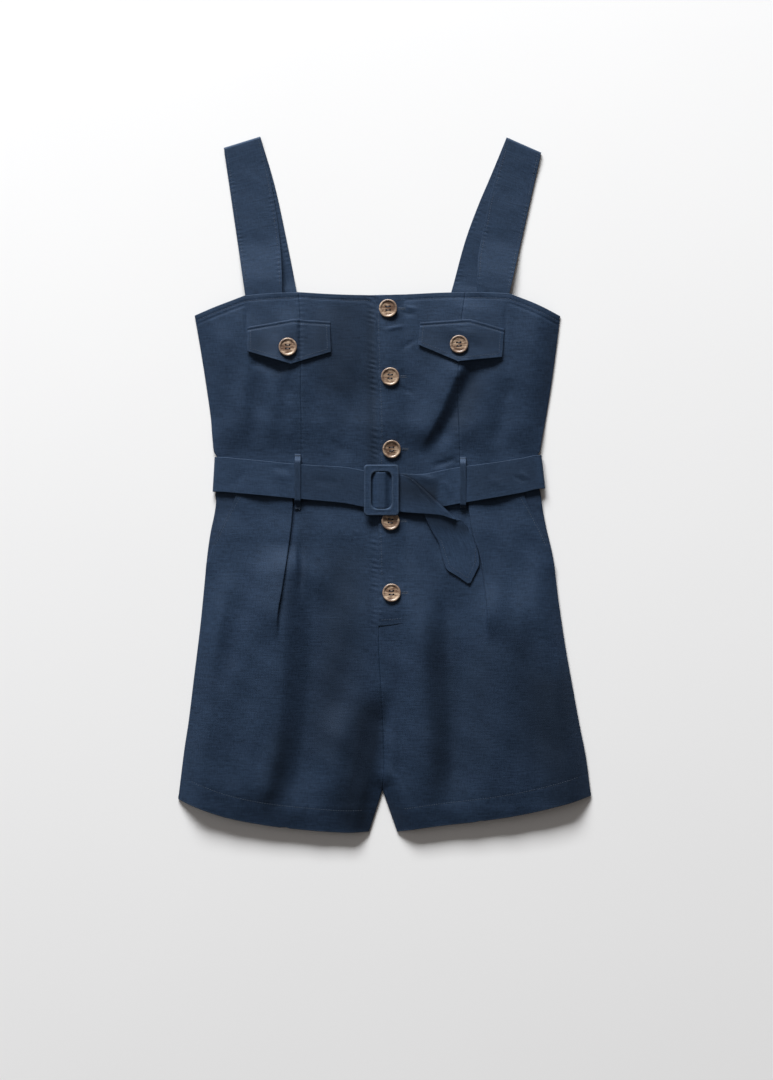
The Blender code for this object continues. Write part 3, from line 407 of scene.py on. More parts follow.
def spaced(length, step, fineStart=True, fineEnd=True):
    # shares across a width in mm, closer at the ends, where an edge is rounded
    close = [0.0, 0.2, 0.5, 0.9, 1.4, 2.0, 2.8]
    start = close if fineStart else [0.0]
    end = close if fineEnd else [0.0]
    body = length - start[-1] - end[-1]
    count = max(2, int(round(body / (step * coarse))))
    middle = start[-1] + body * np.arange(1, count) / count
    return np.concatenate([start, middle, length - np.array(end[::-1])]) / length


def coons(left, right, top, low, u, v):
    # place in a four-sided piece from its four edges
    u, v = np.asarray(u, float), np.asarray(v, float)
    a, b = along(left, v)[:, None, :2], along(right, v)[:, None, :2]
    c, d = along(top, u)[None, :, :2], along(low, u)[None, :, :2]
    p, q, r, s = (np.asarray(e, float)[:2] for e in (left[0], right[0], left[-1], right[-1]))
    uu, vv = u[None, :, None], v[:, None, None]
    return ((1 - uu) * a + uu * b + (1 - vv) * c + vv * d
            - ((1 - uu) * (1 - vv) * p + uu * (1 - vv) * q + (1 - uu) * vv * r + uu * vv * s))


def runFrom(grid, axis, end):
    # distance over the grid from one of its edges
    pad = [(0, 0), (0, 0)]
    pad[axis] = (0, 1) if end else (1, 0)
    steps = np.pad(np.linalg.norm(np.diff(grid, axis=axis), axis=-1), pad)
    return np.flip(np.cumsum(np.flip(steps, axis), axis=axis), axis) if end else np.cumsum(steps, axis=axis)


def rollDown(distance, depth, reach):
    # how far cloth sinks toward a seam
    t = np.clip(distance / reach, 0.0, 1.0)
    return depth * (1.0 - np.sqrt(1.0 - (1.0 - t) ** 2))


def outward(edge, before):
    # level way out over an edge of the grid
    out = edge - before
    out[:, 2] = 0.0
    return out / np.maximum(np.linalg.norm(out, axis=1), 1e-9)[:, None]


def turnEdge(grid, cloth, radius, back, level, up=-1.0, steps=4, turns=5):
    # adds rows after the last: round the edge and back below or above the cloth, as a pressed hem or facing
    last = grid[-1]
    out = outward(last, grid[-2])
    rows, flat = [], []
    for k in range(1, turns + 1):
        a = math.pi * k / turns
        rows.append(last + out * radius * math.sin(a) + np.array([0.0, 0.0, up * radius * (1 - math.cos(a))]))
        flat.append(cloth[-1] + out[:, :2] * radius * a)
    for k in range(1, steps + 1):
        reach = back * k / steps
        row = last - out * reach
        row[:, 2] = level(row[:, 0], row[:, 1], reach)
        rows.append(row)
        flat.append(cloth[-1] + out[:, :2] * (radius * math.pi + reach))
    return np.concatenate([grid, np.array(rows)]), np.concatenate([cloth, np.array(flat)])


def belowFront(radius):
    # height of cloth turned below the front
    return lambda x, y, reach: frontTop(x, y) - 2 * radius - 0.35 * eased(reach / 3.0)


def turnDownSide(grid, cloth, radius, drop, end):
    # adds columns at a side seam: the cloth rolls over and down to the seam
    side = grid[:, -1] if end else grid[:, 0]
    edgeCloth = cloth[:, -1] if end else cloth[:, 0]
    out = outward(side, grid[:, -2] if end else grid[:, 1])
    columns, flat = [], []
    for k in range(1, 5):
        a = 0.55 * math.pi * k / 4
        columns.append(side + out * radius * math.sin(a) - np.array([0, 0, drop]) * (1 - math.cos(a)))
        flat.append(edgeCloth + out[:, :2] * radius * a)
    columns, flat = np.stack(columns, 1), np.stack(flat, 1)
    if end:
        return np.concatenate([grid, columns], 1), np.concatenate([cloth, flat], 1)
    return np.concatenate([columns[:, ::-1], grid], 1), np.concatenate([flat[:, ::-1], cloth], 1)


print("tables and cloth helpers ready")


# materials
def newGroup(name, inputs, outputs):
    group = bpy.data.node_groups.new(name, "ShaderNodeTree")
    for label, kind, *value in inputs:
        socket = group.interface.new_socket(label, in_out="INPUT", socket_type=kind)
        if value:
            socket.default_value = value[0]
    for label, kind in outputs:
        group.interface.new_socket(label, in_out="OUTPUT", socket_type=kind)
    return group, group.nodes.new("NodeGroupInput"), group.nodes.new("NodeGroupOutput")


def newMaterial(name):
    material = bpy.data.materials.new(name)
    material.use_nodes = True
    return material, material.node_tree, material.node_tree.nodes["Principled BSDF"]


def feed(tree, value, socket):
    # a plain value is set on the socket, an output is linked to it
    if isinstance(value, (int, float, tuple)):
        socket.default_value = value
    else:
        tree.links.new(value, socket)


def worked(tree, operation, *values):
    node = tree.nodes.new("ShaderNodeMath")
    node.operation = operation
    for socket, value in zip(node.inputs, values):
        feed(tree, value, socket)
    return node.outputs[0]


def added(tree, first, second):
    return worked(tree, "ADD", first, second)


def times(tree, first, second):
    return worked(tree, "MULTIPLY", first, second)


def offMiddle(tree, value, strength):
    # a mask from 0 to 1, moved to lie round nothing
    return times(tree, worked(tree, "SUBTRACT", value, 0.5), strength)


def clamped(tree, value):
    node = tree.nodes.new("ShaderNodeClamp")
    tree.links.new(value, node.inputs[0])
    return node.outputs[0]


def noise(tree, vector, scale, detail=2.0, roughness=0.5):
    node = tree.nodes.new("ShaderNodeTexNoise")
    node.inputs["Scale"].default_value = scale
    node.inputs["Detail"].default_value = detail
    node.inputs["Roughness"].default_value = roughness
    tree.links.new(vector, node.inputs["Vector"])
    return node.outputs["Fac"]


def stretched(tree, vector, scale):
    node = tree.nodes.new("ShaderNodeVectorMath")
    node.operation = "MULTIPLY"
    tree.links.new(vector, node.inputs[0])
    node.inputs[1].default_value = scale
    return node.outputs[0]


def mixed(tree, factor, first, second, blend="MIX"):
    node = tree.nodes.new("ShaderNodeMix")
    node.data_type = "RGBA"
    node.blend_type = blend
    for number, value in ((0, factor), (6, first), (7, second)):
        feed(tree, value, node.inputs[number])
    return node.outputs[2]


linen = {
    # dark thread, light thread, strength of the slubs
    "navyLinen": ((0.0027, 0.0090, 0.0218), (0.0157, 0.0331, 0.0690), 1.0),
    "navyLinenBand": ((0.0032, 0.0102, 0.0242), (0.0172, 0.0360, 0.0745), 0.9),
    "navyLinenInside": ((0.0028, 0.0084, 0.0204), (0.0154, 0.0305, 0.0628), 0.9),
    "pitch": 0.00055, "weft": 1.55, "warp": 1.45, "slubs": 0.8, "clouds": 0.18, "roughness": 0.54,
    "bump": (0.55, 0.00022),  # strength and distance in metres
    # paler colour of rubbed edges, and the near black that painted shade darkens the cloth toward
    "rubbed": (0.035, 0.045, 0.055, 1), "paintedShadeColour": (0.0, 0.0022, 0.0065, 1),
}


def buildLinenWeave():
    # plain weave with slubs: colour mask and height, from a place on the flat cloth in metres
    group, start, end = newGroup("linenWeave", [
        ("Place", "NodeSocketVector"), ("Thread Pitch", "NodeSocketFloat", 0.00055),
        ("Slub Strength", "NodeSocketFloat", 1.0), ("Dark Thread", "NodeSocketColor", (0.02, 0.035, 0.06, 1)),
        ("Light Thread", "NodeSocketColor", (0.04, 0.06, 0.1, 1)), ("Wear", "NodeSocketFloat", 0.0),
        ("Depth", "NodeSocketFloat", 0.0)],
        [("Colour", "NodeSocketColor"), ("Roughness", "NodeSocketFloat"), ("Height", "NodeSocketFloat")])
    place, wear = start.outputs["Place"], start.outputs["Wear"]
    split = group.nodes.new("ShaderNodeSeparateXYZ")
    group.links.new(place, split.inputs[0])
    wander = times(group, noise(group, place, 140.0, 1.0), 0.0006)
    threads = []
    for axis in (0, 1):
        moved = added(group, split.outputs[axis], wander)
        turns = worked(group, "DIVIDE", moved, start.outputs["Thread Pitch"])
        threads.append(worked(group, "SINE", times(group, turns, math.pi)))
    overUnder = times(group, *threads)
    ribs = added(group, *(worked(group, "ABSOLUTE", thread) for thread in threads))
    weft, warp = (noise(group, stretched(group, place, scale), 1.0, 3.0, 0.65)
                  for scale in ((120.0, 760.0, 0.0), (800.0, 140.0, 0.0)))
    thick = noise(group, stretched(group, place, (55.0, 480.0, 0.0)), 1.0, 1.0)
    tone = noise(group, place, 16.0, 2.0)
    streaks = added(group, offMiddle(group, weft, linen["weft"]), offMiddle(group, warp, linen["warp"]))
    streaks = added(group, streaks, offMiddle(group, thick, linen["slubs"]))
    streaks = times(group, streaks, start.outputs["Slub Strength"])
    mask = added(group, added(group, times(group, streaks, 0.95), 0.5), times(group, overUnder, 0.10))
    mask = clamped(group, added(group, mask, offMiddle(group, tone, linen["clouds"])))
    colour = mixed(group, mask, start.outputs["Dark Thread"], start.outputs["Light Thread"])
    paler = mixed(group, 1.0, colour, linen["rubbed"], "ADD")
    rub = clamped(group, times(group, wear, added(group, 0.55, times(group, weft, 0.9))))
    worn = mixed(group, rub, colour, paler)
    # painted shade: the cloth colour is darkened toward near black by the share read from the cloth's painted shade
    # attribute
    group.links.new(mixed(group, start.outputs["Depth"], worn, linen["paintedShadeColour"]), end.inputs["Colour"])
    group.links.new(added(group, linen["roughness"], times(group, mask, 0.12)), end.inputs["Roughness"])
    height = added(group, times(group, overUnder, 0.35), times(group, ribs, 0.20))
    group.links.new(added(group, height, times(group, streaks, 0.55)), end.inputs["Height"])
    return group


linenWeave = buildLinenWeave()


def clothMaterial(name):
    dark, light, slub = linen[name]
    material, tree, shader = newMaterial(name)
    weave = tree.nodes.new("ShaderNodeGroup")
    weave.node_tree = linenWeave
    # the last attribute is the share of painted shade
    for label, output, socket in (("clothPlace", "Vector", "Place"), ("wornEdge", "Fac", "Wear"),
                                  ("clothPaintedShade", "Fac", "Depth")):
        source = tree.nodes.new("ShaderNodeAttribute")
        source.attribute_name = label
        tree.links.new(source.outputs[output], weave.inputs[socket])
    weave.inputs["Thread Pitch"].default_value = linen["pitch"]
    weave.inputs["Slub Strength"].default_value = slub
    weave.inputs["Dark Thread"].default_value = (*dark, 1)
    weave.inputs["Light Thread"].default_value = (*light, 1)
    bump = tree.nodes.new("ShaderNodeBump")
    bump.inputs["Strength"].default_value, bump.inputs["Distance"].default_value = linen["bump"]
    tree.links.new(weave.outputs["Height"], bump.inputs["Height"])
    tree.links.new(weave.outputs["Colour"], shader.inputs["Base Color"])
    tree.links.new(weave.outputs["Roughness"], shader.inputs["Roughness"])
    tree.links.new(bump.outputs["Normal"], shader.inputs["Normal"])
    shader.inputs["Specular IOR Level"].default_value = 0.5
    shader.inputs["Specular Tint"].default_value = (0.50, 0.68, 1.0, 1)
    shader.inputs["Sheen Weight"].default_value = 0.03
    shader.inputs["Sheen Roughness"].default_value = 0.45
    shader.inputs["Sheen Tint"].default_value = (0.55, 0.70, 1.0, 1)
    return material


linenCloth, linenBand, linenInside = map(clothMaterial, ("navyLinen", "navyLinenBand", "navyLinenInside"))


def threadMaterial():
    material, tree, shader = newMaterial("navyThread")
    where = tree.nodes.new("ShaderNodeTexCoord")
    twist = noise(tree, stretched(tree, where.outputs["Object"], (2600.0, 2600.0, 2600.0)), 1.0, 1.0)
    colour = mixed(tree, twist, (0.012, 0.025, 0.048, 1), (0.036, 0.060, 0.100, 1))
    tree.links.new(colour, shader.inputs["Base Color"])
    bump = tree.nodes.new("ShaderNodeBump")
    bump.inputs["Distance"].default_value = 0.0001
    tree.links.new(twist, bump.inputs["Height"])
    tree.links.new(bump.outputs["Normal"], shader.inputs["Normal"])
    shader.inputs["Roughness"].default_value = 0.6
    shader.inputs["Sheen Weight"].default_value = 0.2
    return material


navyThread = threadMaterial()


def hornMaterial():
    # brown marbled horn, paler toward the rim, with a satin polish
    material, tree, shader = newMaterial("brownHorn")
    where = tree.nodes.new("ShaderNodeTexCoord")
    perPiece = tree.nodes.new("ShaderNodeObjectInfo")
    shift = tree.nodes.new("ShaderNodeVectorMath")
    shift.operation = "ADD"
    tree.links.new(where.outputs["Object"], shift.inputs[0])
    tree.links.new(perPiece.outputs["Location"], shift.inputs[1])
    bent = noise(tree, shift.outputs[0], 110.0, 3.0)
    grain = noise(tree, stretched(tree, shift.outputs[0], (160.0, 520.0, 200.0)), 1.0, 4.0, 0.65)
    veins = added(tree, times(tree, grain, 0.6), times(tree, bent, 0.5))
    ramp = tree.nodes.new("ShaderNodeValToRGB")
    ramp.color_ramp.elements[0].position = 0.38
    ramp.color_ramp.elements[0].color = (0.040, 0.020, 0.013, 1)
    ramp.color_ramp.elements[1].position = 0.66
    ramp.color_ramp.elements[1].color = (0.44, 0.33, 0.235, 1)
    middle = ramp.color_ramp.elements.new(0.53)
    middle.color = (0.150, 0.092, 0.062, 1)
    tree.links.new(veins, ramp.inputs[0])
    split = tree.nodes.new("ShaderNodeSeparateXYZ")
    tree.links.new(where.outputs["Object"], split.inputs[0])
    squares = (times(tree, split.outputs[axis], split.outputs[axis]) for axis in (0, 1))
    radius = worked(tree, "SQRT", added(tree, *squares))
    rim = clamped(tree, times(tree, worked(tree, "SUBTRACT", radius, 0.0066), 260.0))
    paler = mixed(tree, times(tree, rim, 0.30), ramp.outputs[0], (0.42, 0.33, 0.26, 1))
    tree.links.new(paler, shader.inputs["Base Color"])
    tree.links.new(added(tree, 0.24, times(tree, veins, 0.18)), shader.inputs["Roughness"])
    shader.inputs["Coat Weight"].default_value = 0.25
    shader.inputs["Coat Roughness"].default_value = 0.2
    return material


brownHorn = hornMaterial()


def finish(piece, nodes=()):
    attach(piece, "root")
    if nodes:
        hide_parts(*nodes)
    return piece


print("materials ready")


# bodice
bodice = {
    "step": 1.35, "seamDepth": 0.45, "seamReach": 1.6, "hemRadius": 0.42, "facing": 9.0, "sideRadius": 0.9,
    "sideDrop": 0.9, "neckWorn": 0.18, "seamWorn": 0.06,
    # sunken lines beside the neckline and, wider, beside the armholes: distance in, depth, half width
    "bandLine": 5.6, "bandDepth": 0.42, "bandWidth": 1.0,
    "armholeLine": 9.6, "armholeDepth": 0.5, "armholeWidth": 1.1, "armholeFrom": 138.0,
}
necklineAll = smoothLine(outline["topSideLeft"][:-1] + outline["topCentreLeft"][:-1] + outline["topCentreRight"][:-1]
                         + outline["topSideRight"], corners=(2, 11))


def cutAt(line, y, above):
    # the part of a side line above or below the waist
    end = [sideAt(line, y), y]
    return np.vstack([line[line[:, 1] > y], end] if above else [end, line[line[:, 1] < y]])


def bothSideLines(above):
    return (cutAt(line, outline["waist" + label][1], above)
            for line, (_, label, _) in zip((sideLeft, sideRight), bothSides))


def necklineGroove(x, y):
    d = nearLine(necklineAll, x, y)[0]
    off = (d - bodice["bandLine"]) / bodice["bandWidth"]
    low = (d - bodice["armholeLine"]) / bodice["armholeWidth"]
    arm = eased((np.abs(x + 8.0) - bodice["armholeFrom"]) / 14.0)
    return -bodice["bandDepth"] * np.exp(-off * off) - bodice["armholeDepth"] * arm * np.exp(-low * low)


def bodicePanel(name, node, left, right, top, low, seamLeft, seamRight):
    width = 0.5 * (lengthOf(top) + lengthOf(low))
    height = 0.5 * (lengthOf(left) + lengthOf(right))
    u = spaced(width, bodice["step"])
    v = spaced(height, bodice["step"], True, False)
    flat = coons(left, right, top, low, u, v)
    z = frontTop(flat[..., 0], flat[..., 1]) + necklineGroove(flat[..., 0], flat[..., 1])
    for seam, end in ((seamLeft, False), (seamRight, True)):
        if seam:
            z -= rollDown(runFrom(flat, 1, end), bodice["seamDepth"], bodice["seamReach"])
    radius = bodice["hemRadius"]
    grid, cloth = turnEdge(np.dstack([flat, z])[::-1], flat[::-1], radius, bodice["facing"], belowFront(radius))
    grid, cloth = grid[::-1], cloth[::-1]
    for seam, end in ((seamLeft, False), (seamRight, True)):
        if not seam:
            grid, cloth = turnDownSide(grid, cloth, bodice["sideRadius"], bodice["sideDrop"], end)
    # rubbed a little along the neckline and beside the princess seam
    x, y = grid[..., 0], grid[..., 1]
    seam = outline["princessLeft" if "Left" in name else "princessRight"]
    worn = bodice["neckWorn"] * np.exp(-(nearLine(necklineAll, x, y)[0] / 0.9) ** 2)
    worn = worn + bodice["seamWorn"] * np.exp(-((nearLine(seam, x, y)[0] - 1.6) / 0.9) ** 2)
    piece = finish(makeGrid(name, grid, cloth, worn, linenCloth, paintedShadeAt(x, y)), [node])


def makeBodice():
    o = outline
    wholeLeft, wholeRight = bothSideLines(above=True)
    princessLeft, princessRight = smoothLine(o["princessLeft"]), smoothLine(o["princessRight"])
    bodicePanel("bodiceSideLeft", "bodice_side_left", wholeLeft, princessLeft,
                smoothLine(o["topSideLeft"], corners=(2,)), [wholeLeft[-1], o["waistPrincessLeft"]], False, True)
    bodicePanel("bodiceCentreLeft", "bodice_centre_left", princessLeft, o["centreTop"],
                smoothLine(o["topCentreLeft"]), [o["waistPrincessLeft"], o["waistCentre"]], True, True)
    bodicePanel("bodiceCentreRight", "bodice_centre_right", o["centreTop"], princessRight,
                smoothLine(o["topCentreRight"]), [o["waistCentre"], o["waistPrincessRight"]], True, True)
    bodicePanel("bodiceSideRight", "bodice_side_right", princessRight, wholeRight,
                smoothLine(o["topSideRight"], corners=(2,)), [o["waistPrincessRight"], wholeRight[-1]], True, False)


# backs
backs = {
    "step": 3.0, "seamDepth": 0.9, "seamReach": 2.4, "turnRadius": 0.5, "hemDepth": 20.0, "facing": 9.0,
    # wide soft waves of the back cloth, under the front: way, half width left and right, height, eased ends
    "folds": [
        ([(-120, 150), (-90, 60), (-96, -30)], 14, 16, 1.6, 0.4), ([(20, 180), (34, 100), (12, 30)], 16, 14, 1.8, 0.4),
        ([(110, 140), (96, 70), (104, 10)], 13, 15, 1.4, 0.4), ([(-60, 110), (-20, 60), (40, 66)], 9, 11, 1.0, 0.4),
        ([(-140, -60), (-150, -180), (-160, -330)], 17, 15, 2.0, 0.3),
        ([(-70, -90), (-60, -200), (-80, -340)], 14, 17, 1.8, 0.3),
        ([(-20, -280), (-60, -310), (-110, -320)], 9, 10, 1.2, 0.4),
        ([(60, -80), (66, -200), (90, -350)], 15, 16, 1.9, 0.3),
        ([(130, -70), (150, -190), (168, -320)], 16, 14, 2.0, 0.3),
        ([(20, -290), (60, -312), (120, -316)], 9, 10, 1.1, 0.4),
    ],
}


def backLevel(x, y):
    near = np.minimum(x - sideAt(sideLeft, y), sideAt(sideRight, y) - x)
    inner = nearLine([outline["crotch"], (0.0, -385.0)], x, y)[0]
    share = eased(near / 40.0) * np.where(y < -250, eased(inner / 40.0), 1.0)
    seat = eased((np.abs(y - 8.0) - 30.0) / 30.0)
    return tableAt(lay["back"], y) + foldHeight(backs["folds"], x, y) * share * (0.25 + 0.75 * seat)


def backPanel(name, node, left, right, top, low, sides, hem):
    width = 0.5 * (lengthOf(top) + lengthOf(low))
    height = 0.5 * (lengthOf(left) + lengthOf(right))
    u = spaced(width, backs["step"])
    v = spaced(height, backs["step"], True, True)
    flat = coons(left, right, top, low, u, v)
    z = backLevel(flat[..., 0], flat[..., 1])
    for side, end in zip(sides, (False, True)):
        if side:
            z = z + rollDown(runFrom(flat, 1, end), backs["seamDepth"], backs["seamReach"])
    # hem or facing, turned to the inside, which is the upper face of a back piece
    way = 1 if hem else -1
    grid, cloth = turnEdge(np.dstack([flat, z])[::way], flat[::way], backs["turnRadius"],
                           backs["hemDepth"] if hem else backs["facing"],
                           lambda x, y, reach: backLevel(x, y) + 2 * backs["turnRadius"] + 0.1, up=1.0, turns=4)
    grid, cloth = grid[::way], cloth[::way]
    piece = finish(makeGrid(name, grid, cloth, np.zeros(grid.shape[:2]), linenInside), [node])


def makeBacks():
    left, right = bothSideLines(above=True)
    top = [(left[0][0], left[0][1] - 1.0), (-170.0, 196.0), (-130.0, 203.0), (0.0, 203.0), (110.0, 203.0),
           (160.0, 196.0), (right[0][0], right[0][1] - 1.0)]
    left[0], right[0] = top[0], top[-1]
    backPanel("bodiceBack", "bodice_back", left, right, smoothLine(top), [left[-1], (10.0, 2.0), right[-1]],
              (True, True), False)
    left, right = bothSideLines(above=False)
    centre = [(10.0, 2.0), (4.0, -110.0), (-0.7, -306.5), outline["crotch"]]
    hemLeft = smoothLine([(x, y + 1.5) for x, y in outline["hemLeft"]])
    hemRight = smoothLine([(x, y + 1.5) for x, y in reversed(outline["hemRight"])])
    left[-1], right[-1] = hemLeft[0], hemRight[-1]
    backPanel("shortsBackLeft", "shorts_back_left", left, np.array(centre + [tuple(hemLeft[-1])]),
              [left[0], centre[0]], hemLeft, (True, False), True)
    backPanel("shortsBackRight", "shorts_back_right", np.array(centre + [tuple(hemRight[0])]), right,
              [centre[0], right[0]], hemRight, (False, True), True)


# legs
legs = {
    "step": 1.35, "pleatRadius": 0.75, "pleatReach": 34.0, "hemRadius": 0.5, "hemDepth": 24.0,
    "pleatBack": [(10.0, 8.0), (-30.0, 8.0), (-112.0, 0.6), (-385.0, 0.6)],
    "pleatTurn": [(10.0, 1.0), (-108.0, 1.0), (-178.0, 0.0), (-385.0, 0.0)],
    "hemLine": 24.0, "hemDent": 0.16,
    "seamDepth": 0.6, "seamReach": 1.7, "sideDepth": 0.45, "sideReach": 1.4,
    "hemWorn": 0.30, "foldWorn": 0.12,
}
hemLines = {side: smoothLine(outline["hem" + label]) for side, label, _ in bothSides}


def pleatSection(y):
    # steps over the folded pleat for each row: way toward the centre, drop
    back = tableAt(legs["pleatBack"], y)[:, None]
    turn = tableAt(legs["pleatTurn"], y)[:, None] * math.pi
    arc, flatSteps = 8, 5
    share = (np.arange(arc) + 0.5) / arc
    bend = np.full(arc, math.pi * legs["pleatRadius"] / arc)
    angles = np.concatenate([turn * share, turn * np.ones(flatSteps), turn * share[::-1]], 1)
    lengths = np.concatenate([np.tile(bend, (len(y), 1)), np.tile(back / flatSteps, (1, flatSteps)),
                              np.tile(bend, (len(y), 1))], 1)
    x = np.concatenate([np.zeros((len(y), 1)), np.cumsum(np.cos(angles) * lengths, 1)], 1)
    drop = np.concatenate([np.zeros((len(y), 1)), np.cumsum(np.sin(angles) * lengths, 1)], 1)
    run = np.concatenate([np.zeros((len(y), 1)), np.cumsum(lengths, 1)], 1)
    return x, drop, run


def hemGroove(side, x, y):
    d = nearLine(hemLines[side], x, y)[0]
    dent = -legs["hemDent"] * np.exp(-((d - legs["hemLine"]) / 1.1) ** 2)
    turn = 2 * math.pi * x / 9.0 + 1.5 * np.sin(x / 21.0)
    draw = 0.10 * np.exp(-((d - legs["hemLine"] + 3.0) / 4.0) ** 2) * np.sin(turn)
    return dent + draw


def legFront(side, label, toward, sideLine, innerLine, cut, area):
    pocket, pleat = np.array(outline["pocket" + label], float), smoothLine(outline["pleat" + label])
    outer = np.vstack([smoothLine(pocket), sideLine[sideLine[:, 1] < pocket[-1][1] - 4.0]])
    hem = hemLines[side]
    hemOuter = np.vstack([hem[(hem[:, 0] - pleat[-1][0]) * toward < -1.0], pleat[-1]])
    waistOuter = np.array([pocket[0], pleat[0]])
    v = spaced(0.5 * (lengthOf(outer) + lengthOf(innerLine)), legs["step"], False, True)
    edge = along(pleat, v)
    px, drop, run = pleatSection(edge[:, 1])
    total = drop[:, -1]
    after = np.stack([edge[:, 0] + toward * px[:, -1], edge[:, 1]], 1)
    waistInner = np.array([after[0], outline["waistPrincess" + label], outline["waistCentre"]])
    hemInner = np.vstack([after[-1], hem[(hem[:, 0] - after[-1][0]) * toward > 1.0]])
    # outer part, from the side seam to the fold edge
    u = spaced(0.5 * (lengthOf(waistOuter) + lengthOf(hemOuter)), legs["step"], True, False)
    flat = coons(outer, pleat, waistOuter, hemOuter, u, v)
    lift = total[:, None] * eased(1.0 - np.abs(flat[..., 0] - edge[:, :1]) / legs["pleatReach"])
    z = frontTop(flat[..., 0], flat[..., 1]) + lift + hemGroove(side, flat[..., 0], flat[..., 1])
    # the pocket edge lies on its facing; below it the cloth turns down at the side seam
    z -= rollDown(runFrom(flat, 1, False), legs["sideDepth"], legs["sideReach"])
    outerGrid, outerCloth = np.dstack([flat, z]), flat
    # the folded pleat
    x = edge[:, :1] + toward * px[:, 1:-1]
    y = np.repeat(edge[:, 1:2], x.shape[1], 1)
    z = frontTop(x, y) + total[:, None] - drop[:, 1:-1] + hemGroove(side, x, y)
    pleatGrid = np.dstack([x, y, z])
    pleatCloth = np.dstack([edge[:, :1] + toward * run[:, 1:-1], y])
    # inner part, from under the fold to the centre and the inner leg
    u = spaced(0.5 * (lengthOf(waistInner) + lengthOf(hemInner)), legs["step"], False, True)
    flat = coons(after, innerLine, waistInner, hemInner, u, v)
    z = frontTop(flat[..., 0], flat[..., 1]) + hemGroove(side, flat[..., 0], flat[..., 1])
    z -= rollDown(runFrom(flat, 1, True), legs["seamDepth"], legs["seamReach"])
    innerGrid = np.dstack([flat, z])
    innerCloth = flat + np.dstack([toward * (run[:, -1:] - px[:, -1:]), np.zeros_like(run[:, -1:])])
    grid = np.concatenate([outerGrid, pleatGrid, innerGrid], 1)
    cloth = np.concatenate([outerCloth, pleatCloth, innerCloth], 1)
    grid, cloth = turnEdge(grid, cloth, legs["hemRadius"], legs["hemDepth"], belowFront(legs["hemRadius"]), steps=7)
    # rubbed a little at the hem and on the fold of the pleat
    x, y = grid[..., 0], grid[..., 1]
    apart = np.abs(np.arange(grid.shape[1]) - outerGrid.shape[1] - 2)[None, :]
    worn = legs["hemWorn"] * np.exp(-nearLine(hem, x, y)[0] ** 2)
    worn = worn + legs["foldWorn"] * np.exp(-(apart / 2.5) ** 2) * tableAt(legs["pleatTurn"], y)
    piece = makeGrid(f"legFront{label}", grid, cloth, worn, linenCloth, paintedShadeAt(x, y), flip=toward < 0)
    finish(piece, [f"shorts_front_{side}"])


def pocketFacing(side, label, toward, sideLine):
    pocket = outline["pocket" + label]
    rows = np.array([7.0, -5.5, -11.0, -18.9, -33.7, -52.6, -74.0, -88.0])
    outer = np.stack([sideAt(sideLine, rows), rows], 1)
    inner = np.array([(x + toward * 12.0, y) for x, y in pocket[:-1]] + [(pocket[-1][0] + toward * 9.0, -74.0),
                                                                        (pocket[-1][0] + toward * 6.0, -88.0)])
    v = np.linspace(0, 1, max(20, int(60 / coarse)))
    u = np.linspace(0, 1, max(12, int(26 / coarse)))
    a, b = along(smoothLine(outer), v)[:, None], along(smoothLine(inner), v)[:, None]
    flat = a + (b - a) * u[None, :, None]
    z = frontTop(flat[..., 0], flat[..., 1]) - 1.5
    z -= rollDown(runFrom(flat, 1, False), 0.7, 1.6)
    grid = np.dstack([flat, z])
    piece = makeGrid(f"pocketFacing{label}", grid, flat, np.zeros(grid.shape[:2]), linenInside, flip=toward < 0)
    finish(piece, [f"pocket_facing_{side}"])


def makeLegs():
    centre = smoothLine(outline["centreLow"], corners=(1,))
    sizes = (((0.245, 0.425), 0.0900), ((0.245, 0.420), 0.0860))
    for row, sideLine, (cut, area) in zip(bothSides, (sideLeft, sideRight), sizes):
        legFront(*row, sideLine, np.vstack([centre, [outline["inner" + row[1]]]]), cut, area)
    for row, sideLine in zip(bothSides, (sideLeft, sideRight)):
        pocketFacing(*row, sideLine)


# laid-on pieces: button stand and flaps
edgeWorn = 0.08  # how rubbed the edges of double cloth are


def closedPatch(name, surface, u, v, thickness, radius, material, thinTo=0.0):
    # a double layer with rounded edges: the outer face comes from a function of its two shares
    uu, vv = np.meshgrid(u, v)
    top = surface(uu, vv)
    flat = top[..., :2]
    thickness = thickness * (1.0 - thinTo * eased((uu - 0.4) / 0.6))
    distance = np.minimum(np.minimum(runFrom(flat, 1, False), runFrom(flat, 1, True)),
                          np.minimum(runFrom(flat, 0, False), runFrom(flat, 0, True)))
    sink = rollDown(distance, 1.0, radius) * thickness / 2
    rows, columns = uu.shape
    upper = top.copy()
    upper[..., 2] -= sink
    lower = top.copy()
    lower[..., 2] = top[..., 2] - thickness + sink
    border = np.ones((rows, columns), bool)
    border[1:-1, 1:-1] = False
    index = np.arange(rows * columns).reshape(rows, columns)
    index[~border] = rows * columns + np.arange((~border).sum())
    under = np.stack([index[:-1, :-1], index[:-1, 1:], index[1:, 1:], index[1:, :-1]], -1).reshape(-1, 4)
    points = np.vstack([upper.reshape(-1, 3), lower[~border]])
    cloth = np.vstack([flat.reshape(-1, 2), flat[~border]])
    worn = edgeWorn * np.exp(-(distance / 0.9) ** 2)
    worn = np.concatenate([worn.ravel(), worn[~border]])
    faces = np.vstack([gridFaces(rows, columns), under])
    return makePiece(name, points, faces, material, cloth, worn, paintedShadeAt(*points[:, :2].T))


placketLook = {
    "step": 1.1, "thickness": 1.0, "width": 37.0, "sink": 1.75, "sinkFrom": 0.38, "endSink": 0.85, "endFrom": 0.955,
    "dent": 0.35, "draws": 0.18, "pucker": 0.10, "apart": 6.9,
}
placketButtons = [(3.9, 192.1), (6.1, 117.4), (7.7, 38.1), (6.5, -40.8), (7.6, -119.5)]


